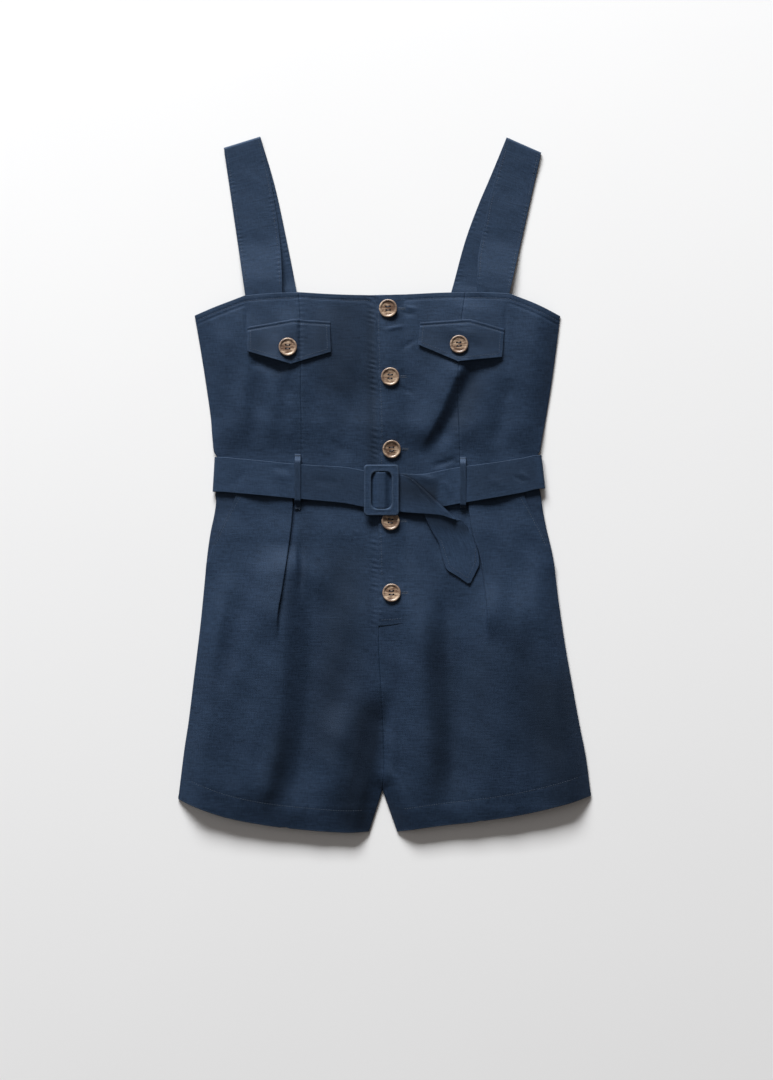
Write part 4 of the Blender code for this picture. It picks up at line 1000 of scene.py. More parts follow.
def placketSurface(u, v):
    a, b = along(placketFree, v), along(placketSewn, v)
    flat = a + (b - a) * u[..., None]
    x, y = flat[..., 0], flat[..., 1]
    # the sewn side sinks into the front, so that only the free edge and the lower end show
    sewn = eased((u - placketLook["sinkFrom"]) / (1.0 - placketLook["sinkFrom"]))
    z = frontTop(x, y) + lay["laidOn"] - placketLook["sink"] * sewn
    z = z - placketLook["endSink"] * eased((v - placketLook["endFrom"]) / 0.045) * (1.0 - sewn)
    # small draws around each button, and puckers down the free edge
    for bx, by in placketButtons:
        d = np.hypot(x - bx, y - by)
        z = z - placketLook["dent"] * np.exp(-(d / 7.0) ** 2)
        around = np.arctan2(y - by, x - bx)
        z = z + placketLook["draws"] * np.exp(-((d - 13.0) / 4.5) ** 2) * np.sin(5 * around + by)
    s = v * lengthOf(placketFree)
    turn = 2 * math.pi * s / placketLook["apart"] + 1.4 * np.sin(s / 15.0) + 0.7 * np.sin(s / 6.1)
    z = z + placketLook["pucker"] * np.sin(turn) * np.exp(-(u * placketLook["width"] / 4.0) ** 2)
    return np.stack([x, y, z], -1)


flapTable = {
    # corners of the top and the lower edge, place of the button, lift of the lower edge off the cloth
    "left": {"top": [(-150.5, 171.6), (-100.0, 180.4), (-59.7, 177.7)],
             "low": [(-150.5, 145.0), (-102.6, 130.9), (-58.6, 144.4)], "button": (-105.9, 149.6),
             "lift": [(-151, 1.4), (-138, 1.9), (-128, 3.6), (-118, 4.6), (-109, 3.2), (-100, 1.6), (-88, 1.2),
                      (-58, 1.0)]},
    "right": {"top": [(38.9, 176.7), (93.3, 180.3), (131.3, 169.5)],
              "low": [(36.6, 152.2), (80.2, 133.8), (128.8, 138.6)], "button": (81.5, 152.6),
              "lift": [(36, 1.0), (58, 1.2), (78, 1.6), (92, 2.5), (108, 2.8), (122, 2.2), (129, 1.5)]},
    "step": 1.0, "thickness": 1.1,
}


def flapSurface(side):
    table = flapTable[side]

    def surface(u, v):
        # straight sides; the top bends once, the lower edge comes to a point and lifts off the cloth
        upper, lower = (np.stack([np.interp(u, [0, 0.5, 1], [point[k] for point in edge]) for k in (0, 1)], -1)
                        for edge in (table["top"], table["low"]))
        flat = upper + (lower - upper) * v[..., None]
        x, y = flat[..., 0], flat[..., 1]
        lift = np.interp(x, *zip(*table["lift"])) * v ** 1.7
        z = frontTop(x, y) + lay["laidOn"] + lift
        # the seam that holds the flap, and the press line below it
        down = v * (upper[..., 1] - lower[..., 1])
        z = z - 0.50 * np.exp(-((down - 3.4) / 1.0) ** 2) - 0.15 * np.exp(-(down / 1.2) ** 2)
        if side == "left":
            z = z - 0.85 * np.exp(-((x + 92.3) / 2.2) ** 2) + 0.30 * np.exp(-((x + 97.5) / 4.0) ** 2)
        else:
            z = z + 0.22 * np.sin(u * 9.0 + 1.0) * v
        bx, by = table["button"]
        z = z - 0.5 * np.exp(-(np.hypot(x - bx, y - by) / 8.0) ** 2)
        return np.stack([x, y, z], -1)
    return surface


def makeLaidOn():
    v = spaced(lengthOf(placketFree), placketLook["step"])
    u = spaced(placketLook["width"], placketLook["step"])
    piece = closedPatch("buttonStand", placketSurface, u, v, placketLook["thickness"], 0.3, linenCloth, thinTo=0.8)
    finish(piece, ["placket"])
    for side, label, _ in bothSides:
        u, v = (spaced(size, flapTable["step"]) for size in (lengthOf(flapTable[side]["top"]), 40.0))
        piece = closedPatch(f"flap{label}", flapSurface(side), u, v, flapTable["thickness"], 0.35, linenCloth)
        finish(piece, [f"pocket_flap_{side}"])


# strips: straps, belt, loops
stripEdge = 0.28  # how far a pressed edge is rounded in


def strip(name, stations, step, across, thickness, extra=None, worn=edgeWorn, paintedStripShade=(), streaksAcross=False):
    # a closed strip along stations of both edges: x, y, x, y, height, height
    rows = np.asarray(stations, float)
    pairs = np.stack([rows[:, [0, 1, 4]], rows[:, [2, 3, 5]]], 1)
    run = runOf(pairs.mean(1))
    at = np.linspace(0, run[-1], max(8, int(run[-1] / (step * coarse))))
    joined = hermite(run, np.hstack([pairs[:, 0], pairs[:, 1]]), at)
    a, b = joined[:, :3], joined[:, 3:]
    way = np.gradient((a + b) / 2, axis=0)
    cross = b - a
    normal = np.cross(cross, way)
    normal /= np.maximum(np.linalg.norm(normal, axis=1), 1e-9)[:, None]
    width = float(np.linalg.norm(cross, axis=1).mean())
    u = spaced(width, across)
    half = thickness / 2
    distance = np.minimum(u, 1 - u) * width
    bulge = half - rollDown(distance, half, min(half, stripEdge))
    line = a[:, None] + cross[:, None] * u[None, :, None]
    upper = line + normal[:, None] * bulge[None, :, None]
    lower = line - normal[:, None] * bulge[None, :, None]
    if extra is not None:
        shift = extra(line, at, u)[..., None] * normal[:, None]
        upper, lower = upper + shift, lower + shift
    ring = np.concatenate([upper, lower[:, -2:0:-1]], 1)
    rowCount, ringCount = ring.shape[:2]
    index = np.arange(rowCount * ringCount).reshape(rowCount, ringCount)
    nxt = np.roll(index, -1, axis=1)
    quads = np.stack([index[:-1], index[1:], nxt[1:], nxt[:-1]], -1).reshape(-1, 4)
    faces = quads.tolist()
    for row, way in ((0, 1), (rowCount - 1, -1)):
        top = index[row, :len(u)]
        low = np.concatenate([[index[row, 0]], index[row, len(u):][::-1], [index[row, len(u) - 1]]])
        for k in range(len(u) - 1):
            face = [top[k], top[k + 1], low[k + 1], low[k]][::way]
            faces.append(list(dict.fromkeys(int(corner) for corner in face)))
    cloth = np.zeros((rowCount, ringCount, 2))
    ringU = np.concatenate([u, u[-2:0:-1]]) * width
    cloth[..., int(streaksAcross)] = at[:, None]
    cloth[..., 1 - int(streaksAcross)] = ringU[None, :]
    rubbed = np.tile(worn * np.exp(-(np.minimum(ringU, width - ringU) / 0.9) ** 2), (rowCount, 1))
    points = ring.reshape(-1, 3)
    # painted shade on the strip: its colour is darkened where shade falls
    piece = makePiece(name, points, faces, linenBand, cloth, rubbed, foldHeight(paintedStripShade, *points[:, :2].T))
    return piece, {"a": a, "cross": cross, "normal": normal, "at": at, "half": half, "extra": extra, "width": width}


def hermite(run, values, at):
    # smooth curve through the stations that does not overshoot
    slopes = np.diff(values, axis=0) / np.diff(run)[:, None]
    tangents = np.zeros_like(values)
    tangents[0], tangents[-1] = slopes[0], slopes[-1]
    for i in range(1, len(run) - 1):
        before, after = slopes[i - 1], slopes[i]
        same = before * after > 0
        w1, w2 = 2 * (run[i + 1] - run[i]) + run[i] - run[i - 1], run[i + 1] - run[i] + 2 * (run[i] - run[i - 1])
        safe = np.where(same, before * after, 1.0)
        tangents[i] = np.where(same, (w1 + w2) * safe / (w1 * after + w2 * before + np.where(same, 0, 1.0)), 0.0)
    i = np.clip(np.searchsorted(run, at, side="right") - 1, 0, len(run) - 2)
    h = (run[i + 1] - run[i])[:, None]
    t = ((at - run[i])[:, None]) / h
    return ((2 * t ** 3 - 3 * t ** 2 + 1) * values[i] + (t ** 3 - 2 * t ** 2 + t) * h * tangents[i]
            + (-2 * t ** 3 + 3 * t ** 2) * values[i + 1] + (t ** 3 - t ** 2) * h * tangents[i + 1])


def onStrip(form, shareAlong, u):
    # point and normal on the outer face of a strip
    s = shareAlong * form["at"][-1]
    a, cross, normal = (np.stack([np.interp(s, form["at"], form[key][:, k]) for k in range(3)], -1)
                        for key in ("a", "cross", "normal"))
    normal /= np.linalg.norm(normal, axis=-1)[..., None]
    line = a + cross * u[..., None]
    lift = form["half"] + form["extra"](line[:, None], s, np.array([0.5]))[:, 0]
    return line + normal * lift[:, None], normal


straps = {
    "left": {
        "frontOuter": [(-150.8, 191.0), (-153.1, 207.4), (-176.8, 369.0)],
        "frontInner": [(-111.9, 193.0), (-112.2, 213.4), (-112.9, 239.1), (-115.5, 271.7), (-120.0, 304.0),
                       (-127.2, 343.2), (-136.5, 381.5)],
        "backOuter": [(-134.5, 187.0), (-138.2, 211.2), (-176.8, 369.0)],
        "backInner": [(-93.0, 188.0), (-96.7, 211.3), (-109.0, 274.2), (-121.3, 330.0), (-136.5, 381.5)],
    },
    "right": {
        "frontOuter": [(132.5, 191.0), (136.8, 208.0), (172.2, 363.8)],
        "frontInner": [(100.5, 193.0), (101.1, 213.2), (103.1, 252.1), (109.6, 284.6), (114.7, 310.5),
                       (121.2, 334.0), (134.0, 380.6)],
        "backOuter": [(104.0, 187.0), (113.0, 212.0), (172.2, 363.8)],
        "backInner": [(66.0, 188.0), (73.9, 213.2), (88.8, 267.7), (103.1, 306.7), (117.4, 340.3),
                      (134.0, 380.6)],
    },
    "frontRise": [(0.0, 7.1), (0.12, 7.0), (0.45, 2.0), (0.8, 1.75), (1.0, 2.7)],
    "backRise": [(0.0, 2.0), (0.1, 2.0), (0.2, 0.5), (1.0, 0.5)],
    "turnRadius": 1.1, "step": 1.1, "thickness": 1.0,
    # painted shade on the straps, more on the right one
    "paintedStripShade": [([(-140, 180), (-150, 390)], 70, 70, 0.07, 0), ([(130, 180), (150, 390)], 70, 70, 0.15, 0)],
}


def swapped(stations):
    # the same stations with their two edges exchanged
    return [(s[2], s[3], s[0], s[1], s[5], s[4]) for s in stations]


def turnedOver(line, radius, steps, drop):
    # half turn about a fold line given as a station
    ax, ay, bx, by, az, bz = line
    length = math.hypot(bx - ax, by - ay)
    nx, ny = -(by - ay) / length, (bx - ax) / length
    out = []
    for index in range(steps + 1):
        angle = math.pi * index / steps
        reach = radius * math.sin(angle) - radius
        down = 0.5 * drop * (1.0 - math.cos(angle))
        out.append((ax + nx * reach, ay + ny * reach, bx + nx * reach, by + ny * reach, az - down, bz - down))
    return out


def strapStations(edges, toward):
    def half(outer, inner, heights, count):
        share = np.arange(count) / count
        a, b = along(smoothLine(outer), share), along(smoothLine(inner), share)
        z = tableAt([(-at, h) for at, h in heights], -share)
        return [(*p, *q, h, h) for p, q, h in zip(a, b, z)]
    front = half(edges["frontOuter"], edges["frontInner"], straps["frontRise"], 24)
    back = half(edges["backOuter"], edges["backInner"], straps["backRise"], 24)
    outer, inner = edges["frontOuter"][-1], edges["frontInner"][-1]
    level = 2 * straps["turnRadius"] + 0.5
    fold = (*outer, *inner, level, level) if toward > 0 else (*inner, *outer, level, level)
    turn = turnedOver(fold, straps["turnRadius"], 10, 2 * straps["turnRadius"])
    return front + (swapped(turn) if toward < 0 else turn) + back[::-1]


def strapWrinkles(side):
    def extra(line, at, u):
        x, y = line[..., 0], line[..., 1]
        up = eased((y - 214.0) / 10.0) * eased((365.0 - y) / 12.0)
        z = 0.16 * np.sin(y / 9.0 + x / 30.0 + (0 if side == "left" else 2.0)) + 0.10 * np.sin(y / 4.3 + x / 11.0)
        inward = 42.0 * np.minimum(u, 1.0 - u)[None, :]
        s = at[:, None]
        drawn = 0.15 * np.exp(-((inward - 3.0) / 2.4) ** 2) * np.sin(
            2 * math.pi * s / 4.9 + 1.5 * np.sin(s / 13.0) + 0.9 * np.sin(s / 5.9) + 3.0 * u[None, :])
        sized = 0.6 + 0.4 * np.sin(s / 10.5 + 4.0 * u[None, :])
        return (z * (0.5 + 0.5 * np.cos(2 * math.pi * (u[None, :] - 0.5))) + drawn * sized) * up
    return extra


beltTable = {
    "right": [(-0.5, 12.5, -0.5, -28.0, 8.3, 8.3), (37.4, 10.6, 37.4, -29.4, 8.3, 8.3),
              (65.0, 15.2, 65.5, -24.8, 8.3, 8.3), (80.0, 18.1, 81.0, -22.0, 8.4, 9.4),
              (88.0, 19.3, 89.5, -20.5, 9.6, 10.4), (106.0, 21.6, 108.0, -17.4, 9.6, 10.4),
              (127.0, 24.5, 130.0, -13.6, 7.8, 8.8), (150.0, 28.2, 153.0, -9.3, 7.4, 7.8),
              (168.8, 31.6, 173.0, -5.2, 5.8, 6.0)],
    "left": [(-183.0, 29.5, -185.2, -8.7, 5.8, 6.0), (-156.0, 27.4, -158.0, -10.6, 7.4, 7.8),
             (-128.0, 24.8, -129.0, -13.2, 8.6, 9.6), (-112.0, 23.0, -113.0, -14.8, 9.7, 10.4),
             (-97.0, 21.8, -98.0, -16.2, 9.7, 10.4), (-84.0, 20.8, -85.0, -17.4, 8.8, 9.2),
             (-43.6, 18.4, -43.6, -21.4, 8.3, 8.3), (-22.7, 14.6, -22.7, -25.4, 8.7, 8.7),
             (-14.5, 12.6, -14.5, -26.5, 9.4, 9.4), (-10.5, 12.6, -10.5, -26.6, 10.7, 10.7),
             (-6.8, 12.6, -6.8, -26.6, 12.5, 12.5), (-0.2, 12.6, -0.2, -26.6, 12.5, 12.5),
             (3.0, 12.6, 3.0, -26.6, 10.7, 10.7), (6.6, 12.4, 6.6, -26.9, 9.5, 9.5),
             (15.8, 10.3, 16.6, -30.6, 9.6, 9.6), (20.0, 9.2, 30.0, -32.0, 10.3, 10.5),
             (24.5, 7.6, 46.0, -33.0, 11.0, 11.4), (28.5, 5.8, 62.0, -34.6, 11.6, 12.2)],
    "fold": (30.8, 4.4, 78.5, -38.8, 12.0, 12.8), "foldRadius": 0.95,
    "tail": [(33.0, -5.0, 84.0, -40.5, 10.0, 9.9), (40.0, -24.0, 89.5, -45.0, 9.9, 9.4),
             (46.5, -41.0, 94.5, -53.0, 9.2, 8.9), (52.8, -53.5, 99.0, -62.7, 0, 0),
             (59.5, -65.5, 102.3, -72.8, 0, 0), (63.3, -80.5, 103.8, -83.0, 0, 0),
             (67.7, -93.1, 104.0, -87.5, 0, 0), (80.0, -101.4, 99.6, -97.5, 0, 0),
             (92.0, -109.8, 93.6, -109.6, 0, 0)],
    "turnRadius": 3.2, "step": 1.5, "thickness": 1.2,
    # painted shade on the belt: on both long parts, beside the buckle, along the fold and on the tail under the band
    "paintedStripShade": [([(-98, 4), (-10, -6)], 22, 22, 0.32, 0.12), ([(88, 2), (172, 14)], 24, 24, 0.32, 0.1),
               ([(10, -4), (34, -8), (62, -12)], 15, 15, 0.76, 0.15),
               ([(16, 13), (31, 4.5), (79, -38)], 2.0, 2.0, 0.5, 0.1),
               ([(36, -38), (64, -44), (94, -50)], 6.0, 6.0, 0.55, 0.05)],
    # small dents and ridges on the belt: way, half width left and right, height, eased ends
    "folds": [
        ([(-124, 12), (-112, 9), (-99, 4)], 5.0, 6.0, -0.5, 0.4),
        ([(-128, 19), (-114, 17), (-100, 14)], 4.0, 4.0, 0.3, 0.4),
        ([(-84, 6), (-66, 2), (-46, 0)], 5.0, 5.0, 0.4, 0.4), ([(140, 10), (148, 5), (156, 1)], 1.8, 2.2, 0.5, 0.4),
        ([(146, 14), (154, 9), (160, 6)], 1.8, 2.2, -0.4, 0.4), ([(60, 8), (70, -4), (76, -16)], 3.0, 4.0, -0.5, 0.4),
        ([(34, -4), (48, -14), (62, -26)], 3.0, 3.0, 0.5, 0.4), ([(-150, 18), (-162, 2), (-170, -6)], 5, 6, 0.5, 0.4),
        ([(28, 12), (44, 7), (62, 2)], 4.0, 6.0, -1.0, 0.4),
        ([(110, 6), (124, 2), (134, -6)], 4.0, 4.0, -0.4, 0.4), ([(-30, 8), (-27, -6), (-30, -20)], 3, 3, -0.3, 0.4),
    ],
}


beltParts = {}  # lengths along the belt at which its parts begin and end
forms = {}


def beltStations():
    t = beltTable
    rightEnd, leftEnd = t["right"][-1], t["left"][0]
    reach = t["turnRadius"]
    rightTurn, leftTurn = [], []
    for index in range(1, 8):
        angle = math.pi * index / 8
        out, share = reach * math.sin(angle), 0.5 * (1.0 - math.cos(angle))
        for end, sign, rows in ((rightEnd, 1, rightTurn), (leftEnd, -1, leftTurn)):
            za, zb = (end[k] + (0.6 - end[k]) * share for k in (4, 5))
            rows.append((end[0] + sign * out, end[1], end[2] + sign * out, end[3], za, zb))
    under = [tuple(a + (b - a) * k / 12 for a, b in zip(rightEnd[:4], leftEnd[:4])) + (0.6, 0.6) for k in range(13)]
    rows = t["right"] + rightTurn + under + leftTurn[::-1] + t["left"]
    rows += turnedOver(t["fold"], t["foldRadius"], 7, 2 * t["foldRadius"])
    for ax, ay, bx, by, az, bz in t["tail"]:
        if not az:
            # laid on the leg below
            share = np.linspace(0.0, 1.0, 7)
            rest = frontTop(ax + (bx - ax) * share, ay + (by - ay) * share) + 1.15
            slope = np.polyfit(share, rest, 1)
            over = float((rest - np.polyval(slope, share)).max())
            az, bz = float(slope[1]) + over, float(slope[0] + slope[1]) + over
        rows.append((ax, ay, bx, by, az, bz))
    return rows


def beltWrinkles(line, at, u):
    x, y, z = line[..., 0], line[..., 1], line[..., 2]
    shown = eased((z - 4.0) / 2.0) * (at < beltParts["shownTo"])[:, None]
    ripple = 0.12 * np.sin(x / 7.0 + 0.05 * y) + 0.08 * np.sin(x / 3.4 + y / 9.0)
    return (foldHeight(beltTable["folds"], x, y) + ripple) * shown


# the loops are darkened by painted shade
loopTable = {"width": 6.6, "step": 1.0, "across": 0.8, "thickness": 0.8, "paintedStripShade": 0.34, "rest": 0.85,
             "left": {"x": -95.3, "top": 32.7, "low": -28.3, "beltTop": 23.2, "beltLow": -17.6},
             "right": {"x": 86.0, "top": 29.5, "low": -27.2, "beltTop": 21.0, "beltLow": -22.4}}


def beltHeight(x):
    rows = np.array(beltTable["left"][:8] if x < 0 else beltTable["right"])
    return float(np.interp(x, rows[:, 0], np.maximum(rows[:, 4], rows[:, 5])))


def loopStations(side):
    t = loopTable[side]
    x, half = t["x"], 0.5 * loopTable["width"]
    over = beltHeight(x) + 0.5 * beltTable["thickness"] + 0.35 + 0.1
    lowRest, topRest = (float(frontTop(x, t[end])) + loopTable["rest"] for end in ("low", "top"))
    middle = 0.5 * (t["beltLow"] + t["beltTop"])
    path = [(t["low"], lowRest), (t["beltLow"] - 5.0, lowRest + 0.3), (t["beltLow"] - 2.2, over - 1.6),
            (t["beltLow"] - 0.4, over), (t["beltLow"] + 8.0, over), (middle, over), (t["beltTop"] - 8.0, over - 0.1),
            (t["beltTop"] + 0.6, over - 0.4), (t["beltTop"] + 3.4, over - 1.4), (t["beltTop"] + 6.2, topRest + 0.7),
            (t["top"], topRest)]
    return [(x + half, y, x - half, y, z, z) for y, z in reversed(path)]


def makeStrap(side, label, toward):
    name = "strap" + label
    stations = strapStations(straps[side], toward)
    piece, forms[name] = strip(name, swapped(stations) if toward < 0 else stations, straps["step"], straps["step"],
                               straps["thickness"], strapWrinkles(side), paintedStripShade=straps["paintedStripShade"], streaksAcross=True)
    finish(piece, [f"strap_{side}"])


def makeBelt():
    t = beltTable
    stations = beltStations()
    rows = np.array(stations)
    middle = np.stack([(rows[:, 0] + rows[:, 2]) / 2, (rows[:, 1] + rows[:, 3]) / 2, (rows[:, 4] + rows[:, 5]) / 2], 1)
    run = runOf(middle)
    leftAt = len(rows) - len(t["tail"]) - 8 - len(t["left"])
    beltParts.update(shownTo=run[-len(t["tail"]) - 9], rightTo=run[len(t["right"]) - 1], leftFrom=run[leftAt],
                     leftTo=run[leftAt + 6])
    piece, forms["belt"] = strip("waistBelt", swapped(stations), t["step"], t["step"], t["thickness"], beltWrinkles,
                                 worn=0.05, paintedStripShade=t["paintedStripShade"])
    finish(piece, ["belt"])


def makeLoop(side, label):
    t, x = loopTable, loopTable[side]["x"]
    piece = strip("loop" + label, loopStations(side), t["step"], t["across"], t["thickness"],
                  paintedStripShade=[([(x, 40), (x, -40)], 20, 20, t["paintedStripShade"], 0)])[0]
    finish(piece, [f"belt_loop_{side}"])


def makeStrips():
    for row in bothSides:
        makeStrap(*row)
    makeBelt()
    for side, label, _ in bothSides:
        makeLoop(side, label)


trees = {}


def dropped(pieceName, places):
    # where points fall on a piece from above, and the way its face looks there
    if pieceName not in trees:
        mesh = bpy.data.objects[pieceName].data
        trees[pieceName] = BVHTree.FromPolygons([v.co.copy() for v in mesh.vertices],
                                                [tuple(f.vertices) for f in mesh.polygons])
    points, normals = [], []
    for x, y in places:
        hit, normal = trees[pieceName].ray_cast(Vector((x * mm, y * mm, 0.06)), Vector((0.0, 0.0, -1.0)))[:2]
        if hit is None:
            points.append((x, y, float("nan")))
            normals.append((0.0, 0.0, 1.0))
        else:
            points.append(tuple(hit / mm))
            normals.append(tuple(normal if normal.z > 0 else -normal))
    return np.array(points), np.array(normals)


makeBodice()
print("bodice made")
makeBacks()
print("backs made")
makeLegs()
print("legs made")
makeLaidOn()
print("button stand and flaps made")
makeStrips()
print("straps, belt and loops made")


# buckle
buckleTable = {"centre": (-3.4, -7.0, 11.9), "outer": (38.5, 55.8, 3.6), "window": (22.2, 40.6, 7.0), "thick": 2.8,
               "edge": 1.15, "rim": 0.25, "bar": (5.0, 1.2)}


def roundedOutline(width, height, corner, count):
    # points round a rectangle with round corners, evenly spread and starting at the same place for each ring
    points = []
    arc = [(1, 1, 0), (-1, 1, 90), (-1, -1, 180), (1, -1, 270)]
    for sx, sy, start in arc:
        for k in range(13):
            a = math.radians(start + 90 * k / 12)
            points.append((sx * (width / 2 - corner) + corner * math.cos(a),
                           sy * (height / 2 - corner) + corner * math.sin(a)))
    points = np.array(points + points[:1])
    sides = []
    for k in range(4):
        first, last = points[13 * k + 12], points[(13 * (k + 1)) % 52]
        sides.append((points[13 * k:13 * k + 13], np.linspace(first, last, count + 2)[1:-1]))
    return np.vstack([np.vstack(pair) for pair in sides])


def makeBuckle():
    t = buckleTable
    cx, cy, cz = t["centre"]
    w, h, c = t["outer"]
    ww, wh, wc = t["window"]
    count = int(18 / coarse)
    inner, outer = roundedOutline(ww, wh, wc, count), roundedOutline(w, h, c, count)
    band = 0.5 * ((w - ww) + (h - wh)) / 2
    half, r = t["thick"] / 2, t["edge"]

    def edgePoint(a, outside, face):
        inset = r / band * (1 - math.cos(a))
        return 1 - inset if outside else inset, face * (half - r + r * math.sin(a))
    quarter = math.pi / 2
    section = [edgePoint(quarter * k / 6, False, 1) for k in range(7)]
    section += [(share, half - t["rim"] * math.sin(math.pi * (share - 0.15) / 0.7) * 0.6)
                for share in (0.28, 0.4, 0.5, 0.6, 0.72)]
    section += [edgePoint(quarter * (1 - k / 6), True, 1) for k in range(7)]
    section += [edgePoint(quarter * k / 4, True, -1) for k in range(1, 5)]
    section += [edgePoint(quarter * k / 4, False, -1) for k in range(4, 0, -1)]
    rings = []
    for share, z in section:
        ring = inner + (outer - inner) * share
        rings.append(np.column_stack([ring + (cx, cy), np.full(len(ring), cz + z)]))
    points = np.array(rings)
    n, m = points.shape[:2]
    # the cloth is drawn smooth over the frame, with slight unevenness
    points[..., 2] += 0.05 * np.sin(points[..., 0] * 0.9) * np.sin(points[..., 1] * 0.7)
    index = np.arange(n * m).reshape(n, m)
    down, right = np.roll(index, -1, 0), np.roll(index, -1, 1)
    quads = np.stack([index, right, np.roll(down, -1, 1), down], -1).reshape(-1, 4)[:, ::-1]
    cloth = points.reshape(-1, 3)[:, :2]
    share = np.repeat([s for s, z in section], m)
    worn = 0.3 * np.exp(-((share - 0.12) / 0.10) ** 2) + 0.3 * np.exp(-((share - 0.88) / 0.10) ** 2)
    piece = makePiece("buckleFrame", points.reshape(-1, 3), quads, linenBand, cloth, worn)
    net = bmesh.new()
    net.from_mesh(piece.data)
    bw, bt = t["bar"]
    made = bmesh.ops.create_cube(net, size=1.0)
    for vertex in made["verts"]:
        vertex.co = (vertex.co.x * bw * mm + cx * mm, vertex.co.y * (wh + 1.5) * mm + cy * mm,
                     vertex.co.z * bt * mm + (cz - half + bt / 2 + 0.05) * mm)
    net.to_mesh(piece.data)
    net.free()
    piece.data.shade_smooth()
    finish(piece, ["buckle"])


# buttons
buttonTable = {
    "holeRadius": 1.05, "holeStep": 2.0, "steps": 72, "turns": [0.03, -0.06, 0.1, -0.12, 0.05, 0.0, 0.08],
    # half section, radius and height
    "section": [(0.0, 0.0), (6.5, 0.0), (8.2, 0.12), (9.2, 0.5), (9.8, 1.05), (10.0, 1.6), (9.9, 2.1), (9.55, 2.45),
                (9.05, 2.6), (8.5, 2.55), (8.05, 2.35), (7.75, 2.05), (7.5, 1.75), (7.1, 1.58), (6.4, 1.55),
                (5.2, 1.5), (3.0, 1.45), (0.0, 1.45)],
}


def buttonSeat(piece, x, y):
    reach = 7.0
    ring = [(x + reach, y), (x - reach, y), (x, y + reach), (x, y - reach), (x, y)]
    ring += [(x + reach * math.cos(a), y + reach * math.sin(a)) for a in np.linspace(0, 6.0, 9)]
    a = dropped(piece, ring)[0][:, 2]
    slopeX, slopeY = (a[0] - a[1]) / (2 * reach), (a[2] - a[3]) / (2 * reach)
    over = max(float(h - slopeX * (px - x) - slopeY * (py - y)) for h, (px, py) in zip(a, ring))
    return over + 0.25, math.atan(slopeY), -math.atan(slopeX)


def buttonMesh():
    t = buttonTable
    net = bmesh.new()
    corners = [net.verts.new((r * mm, 0.0, z * mm)) for r, z in t["section"]]
    edges = [net.edges.new(pair) for pair in zip(corners, corners[1:])]
    bmesh.ops.spin(net, geom=corners + edges, cent=(0, 0, 0), axis=(0, 0, 1), angle=2 * math.pi,
                   steps=int(t["steps"] / coarse), use_merge=True)
    bmesh.ops.remove_doubles(net, verts=net.verts, dist=0.000005)
    bmesh.ops.recalc_face_normals(net, faces=net.faces)
    mesh = bpy.data.meshes.new("buttonBody")
    net.to_mesh(mesh)
    net.free()
    holes = bpy.data.meshes.new("buttonHoles")
    net = bmesh.new()
    for sx in (-1, 1):
        for sy in (-1, 1):
            for height, depth, low, high in ((0.0, 8.0, 1.0, 1.0), (1.45, 0.5, 0.85, 1.35)):
                made = bmesh.ops.create_cone(net, cap_ends=True, segments=20, radius1=low * t["holeRadius"] * mm,
                                             radius2=high * t["holeRadius"] * mm, depth=depth * mm)
                for vertex in made["verts"]:
                    vertex.co += Vector((sx * t["holeStep"] * mm, sy * t["holeStep"] * mm, height * mm))
    net.to_mesh(holes)
    net.free()
    body, cutter = newObject("buttonBody", mesh), newObject("buttonHoles", holes)
    cut = body.modifiers.new("holes", "BOOLEAN")
    cut.operation, cut.solver, cut.object, cut.use_self = "DIFFERENCE", "EXACT", cutter, True
    bpy.context.view_layer.update()
    graph = bpy.context.evaluated_depsgraph_get()
    made = bpy.data.meshes.new_from_object(body.evaluated_get(graph))
    for item in (body, cutter):
        bpy.data.objects.remove(item, do_unlink=True)
    made.shade_smooth()
    made.set_sharp_from_angle(angle=math.radians(38))
    return made


def makeButtons():
    shared = buttonMesh()
    shared.materials.clear()
    shared.materials.append(brownHorn)
    places = []
    for index, (x, y) in enumerate(placketButtons, start=1):
        places.append((f"placketButton{index}", f"button_placket_{index}", x, y, buttonSeat("buttonStand", x, y)))
    for side, label, _ in bothSides:
        x, y = flapTable[side]["button"]
        places.append((f"flapButton{label}", f"button_flap_{side}", x, y, buttonSeat(f"flap{label}", x, y)))
    for (name, node, x, y, (base, tiltX, tiltY)), turn in zip(places, buttonTable["turns"]):
        piece = newObject(name, shared.copy())
        piece.location = (x * mm, y * mm, base * mm)
        piece.rotation_euler = (tiltX, tiltY, turn)
        finish(piece, [node])
    return [(x, y, base, tiltY) for _, _, x, y, (base, _, tiltY) in places]


makeBuckle()
buttonPlaces = makeButtons()
print("buckle and buttons made")


# sewing: short stitches laid on the finished pieces
sewing = {
    "pitch": 2.7, "length": 1.8, "radius": 0.19, "sides": 5, "slant": 0.09,
    # how far in from the edge
    "hemUp": 24.0, "neckDown": 5.6, "beltIn": 4.6, "strapIn": 3.0, "flapIn": 4.0, "tailIn": 4.6, "standIn": 2.4,
    "strapShares": (0.065, 0.488), "beltFrom": 0.012,
    "standEnd": [(-4.0, -149.5), (10.0, -148.4), (20.0, -147.4)],
    "tail": [(104.0, -70.0), (104.2, -86.0), (92.8, -110.2), (67.7, -93.1), (63.3, -80.5), (57.0, -61.0)],
    "pocketLeft": [(-157.5, -13.2), (-167.9, -31.0), (-177.8, -49.8), (-187.2, -69.5)],
    "pocketRight": [(147.8, -13.2), (157.5, -29.0), (168.5, -49.8), (177.6, -69.5)],
    "buttonholeFrom": 11.5, "buttonholeTo": 19.0,
}


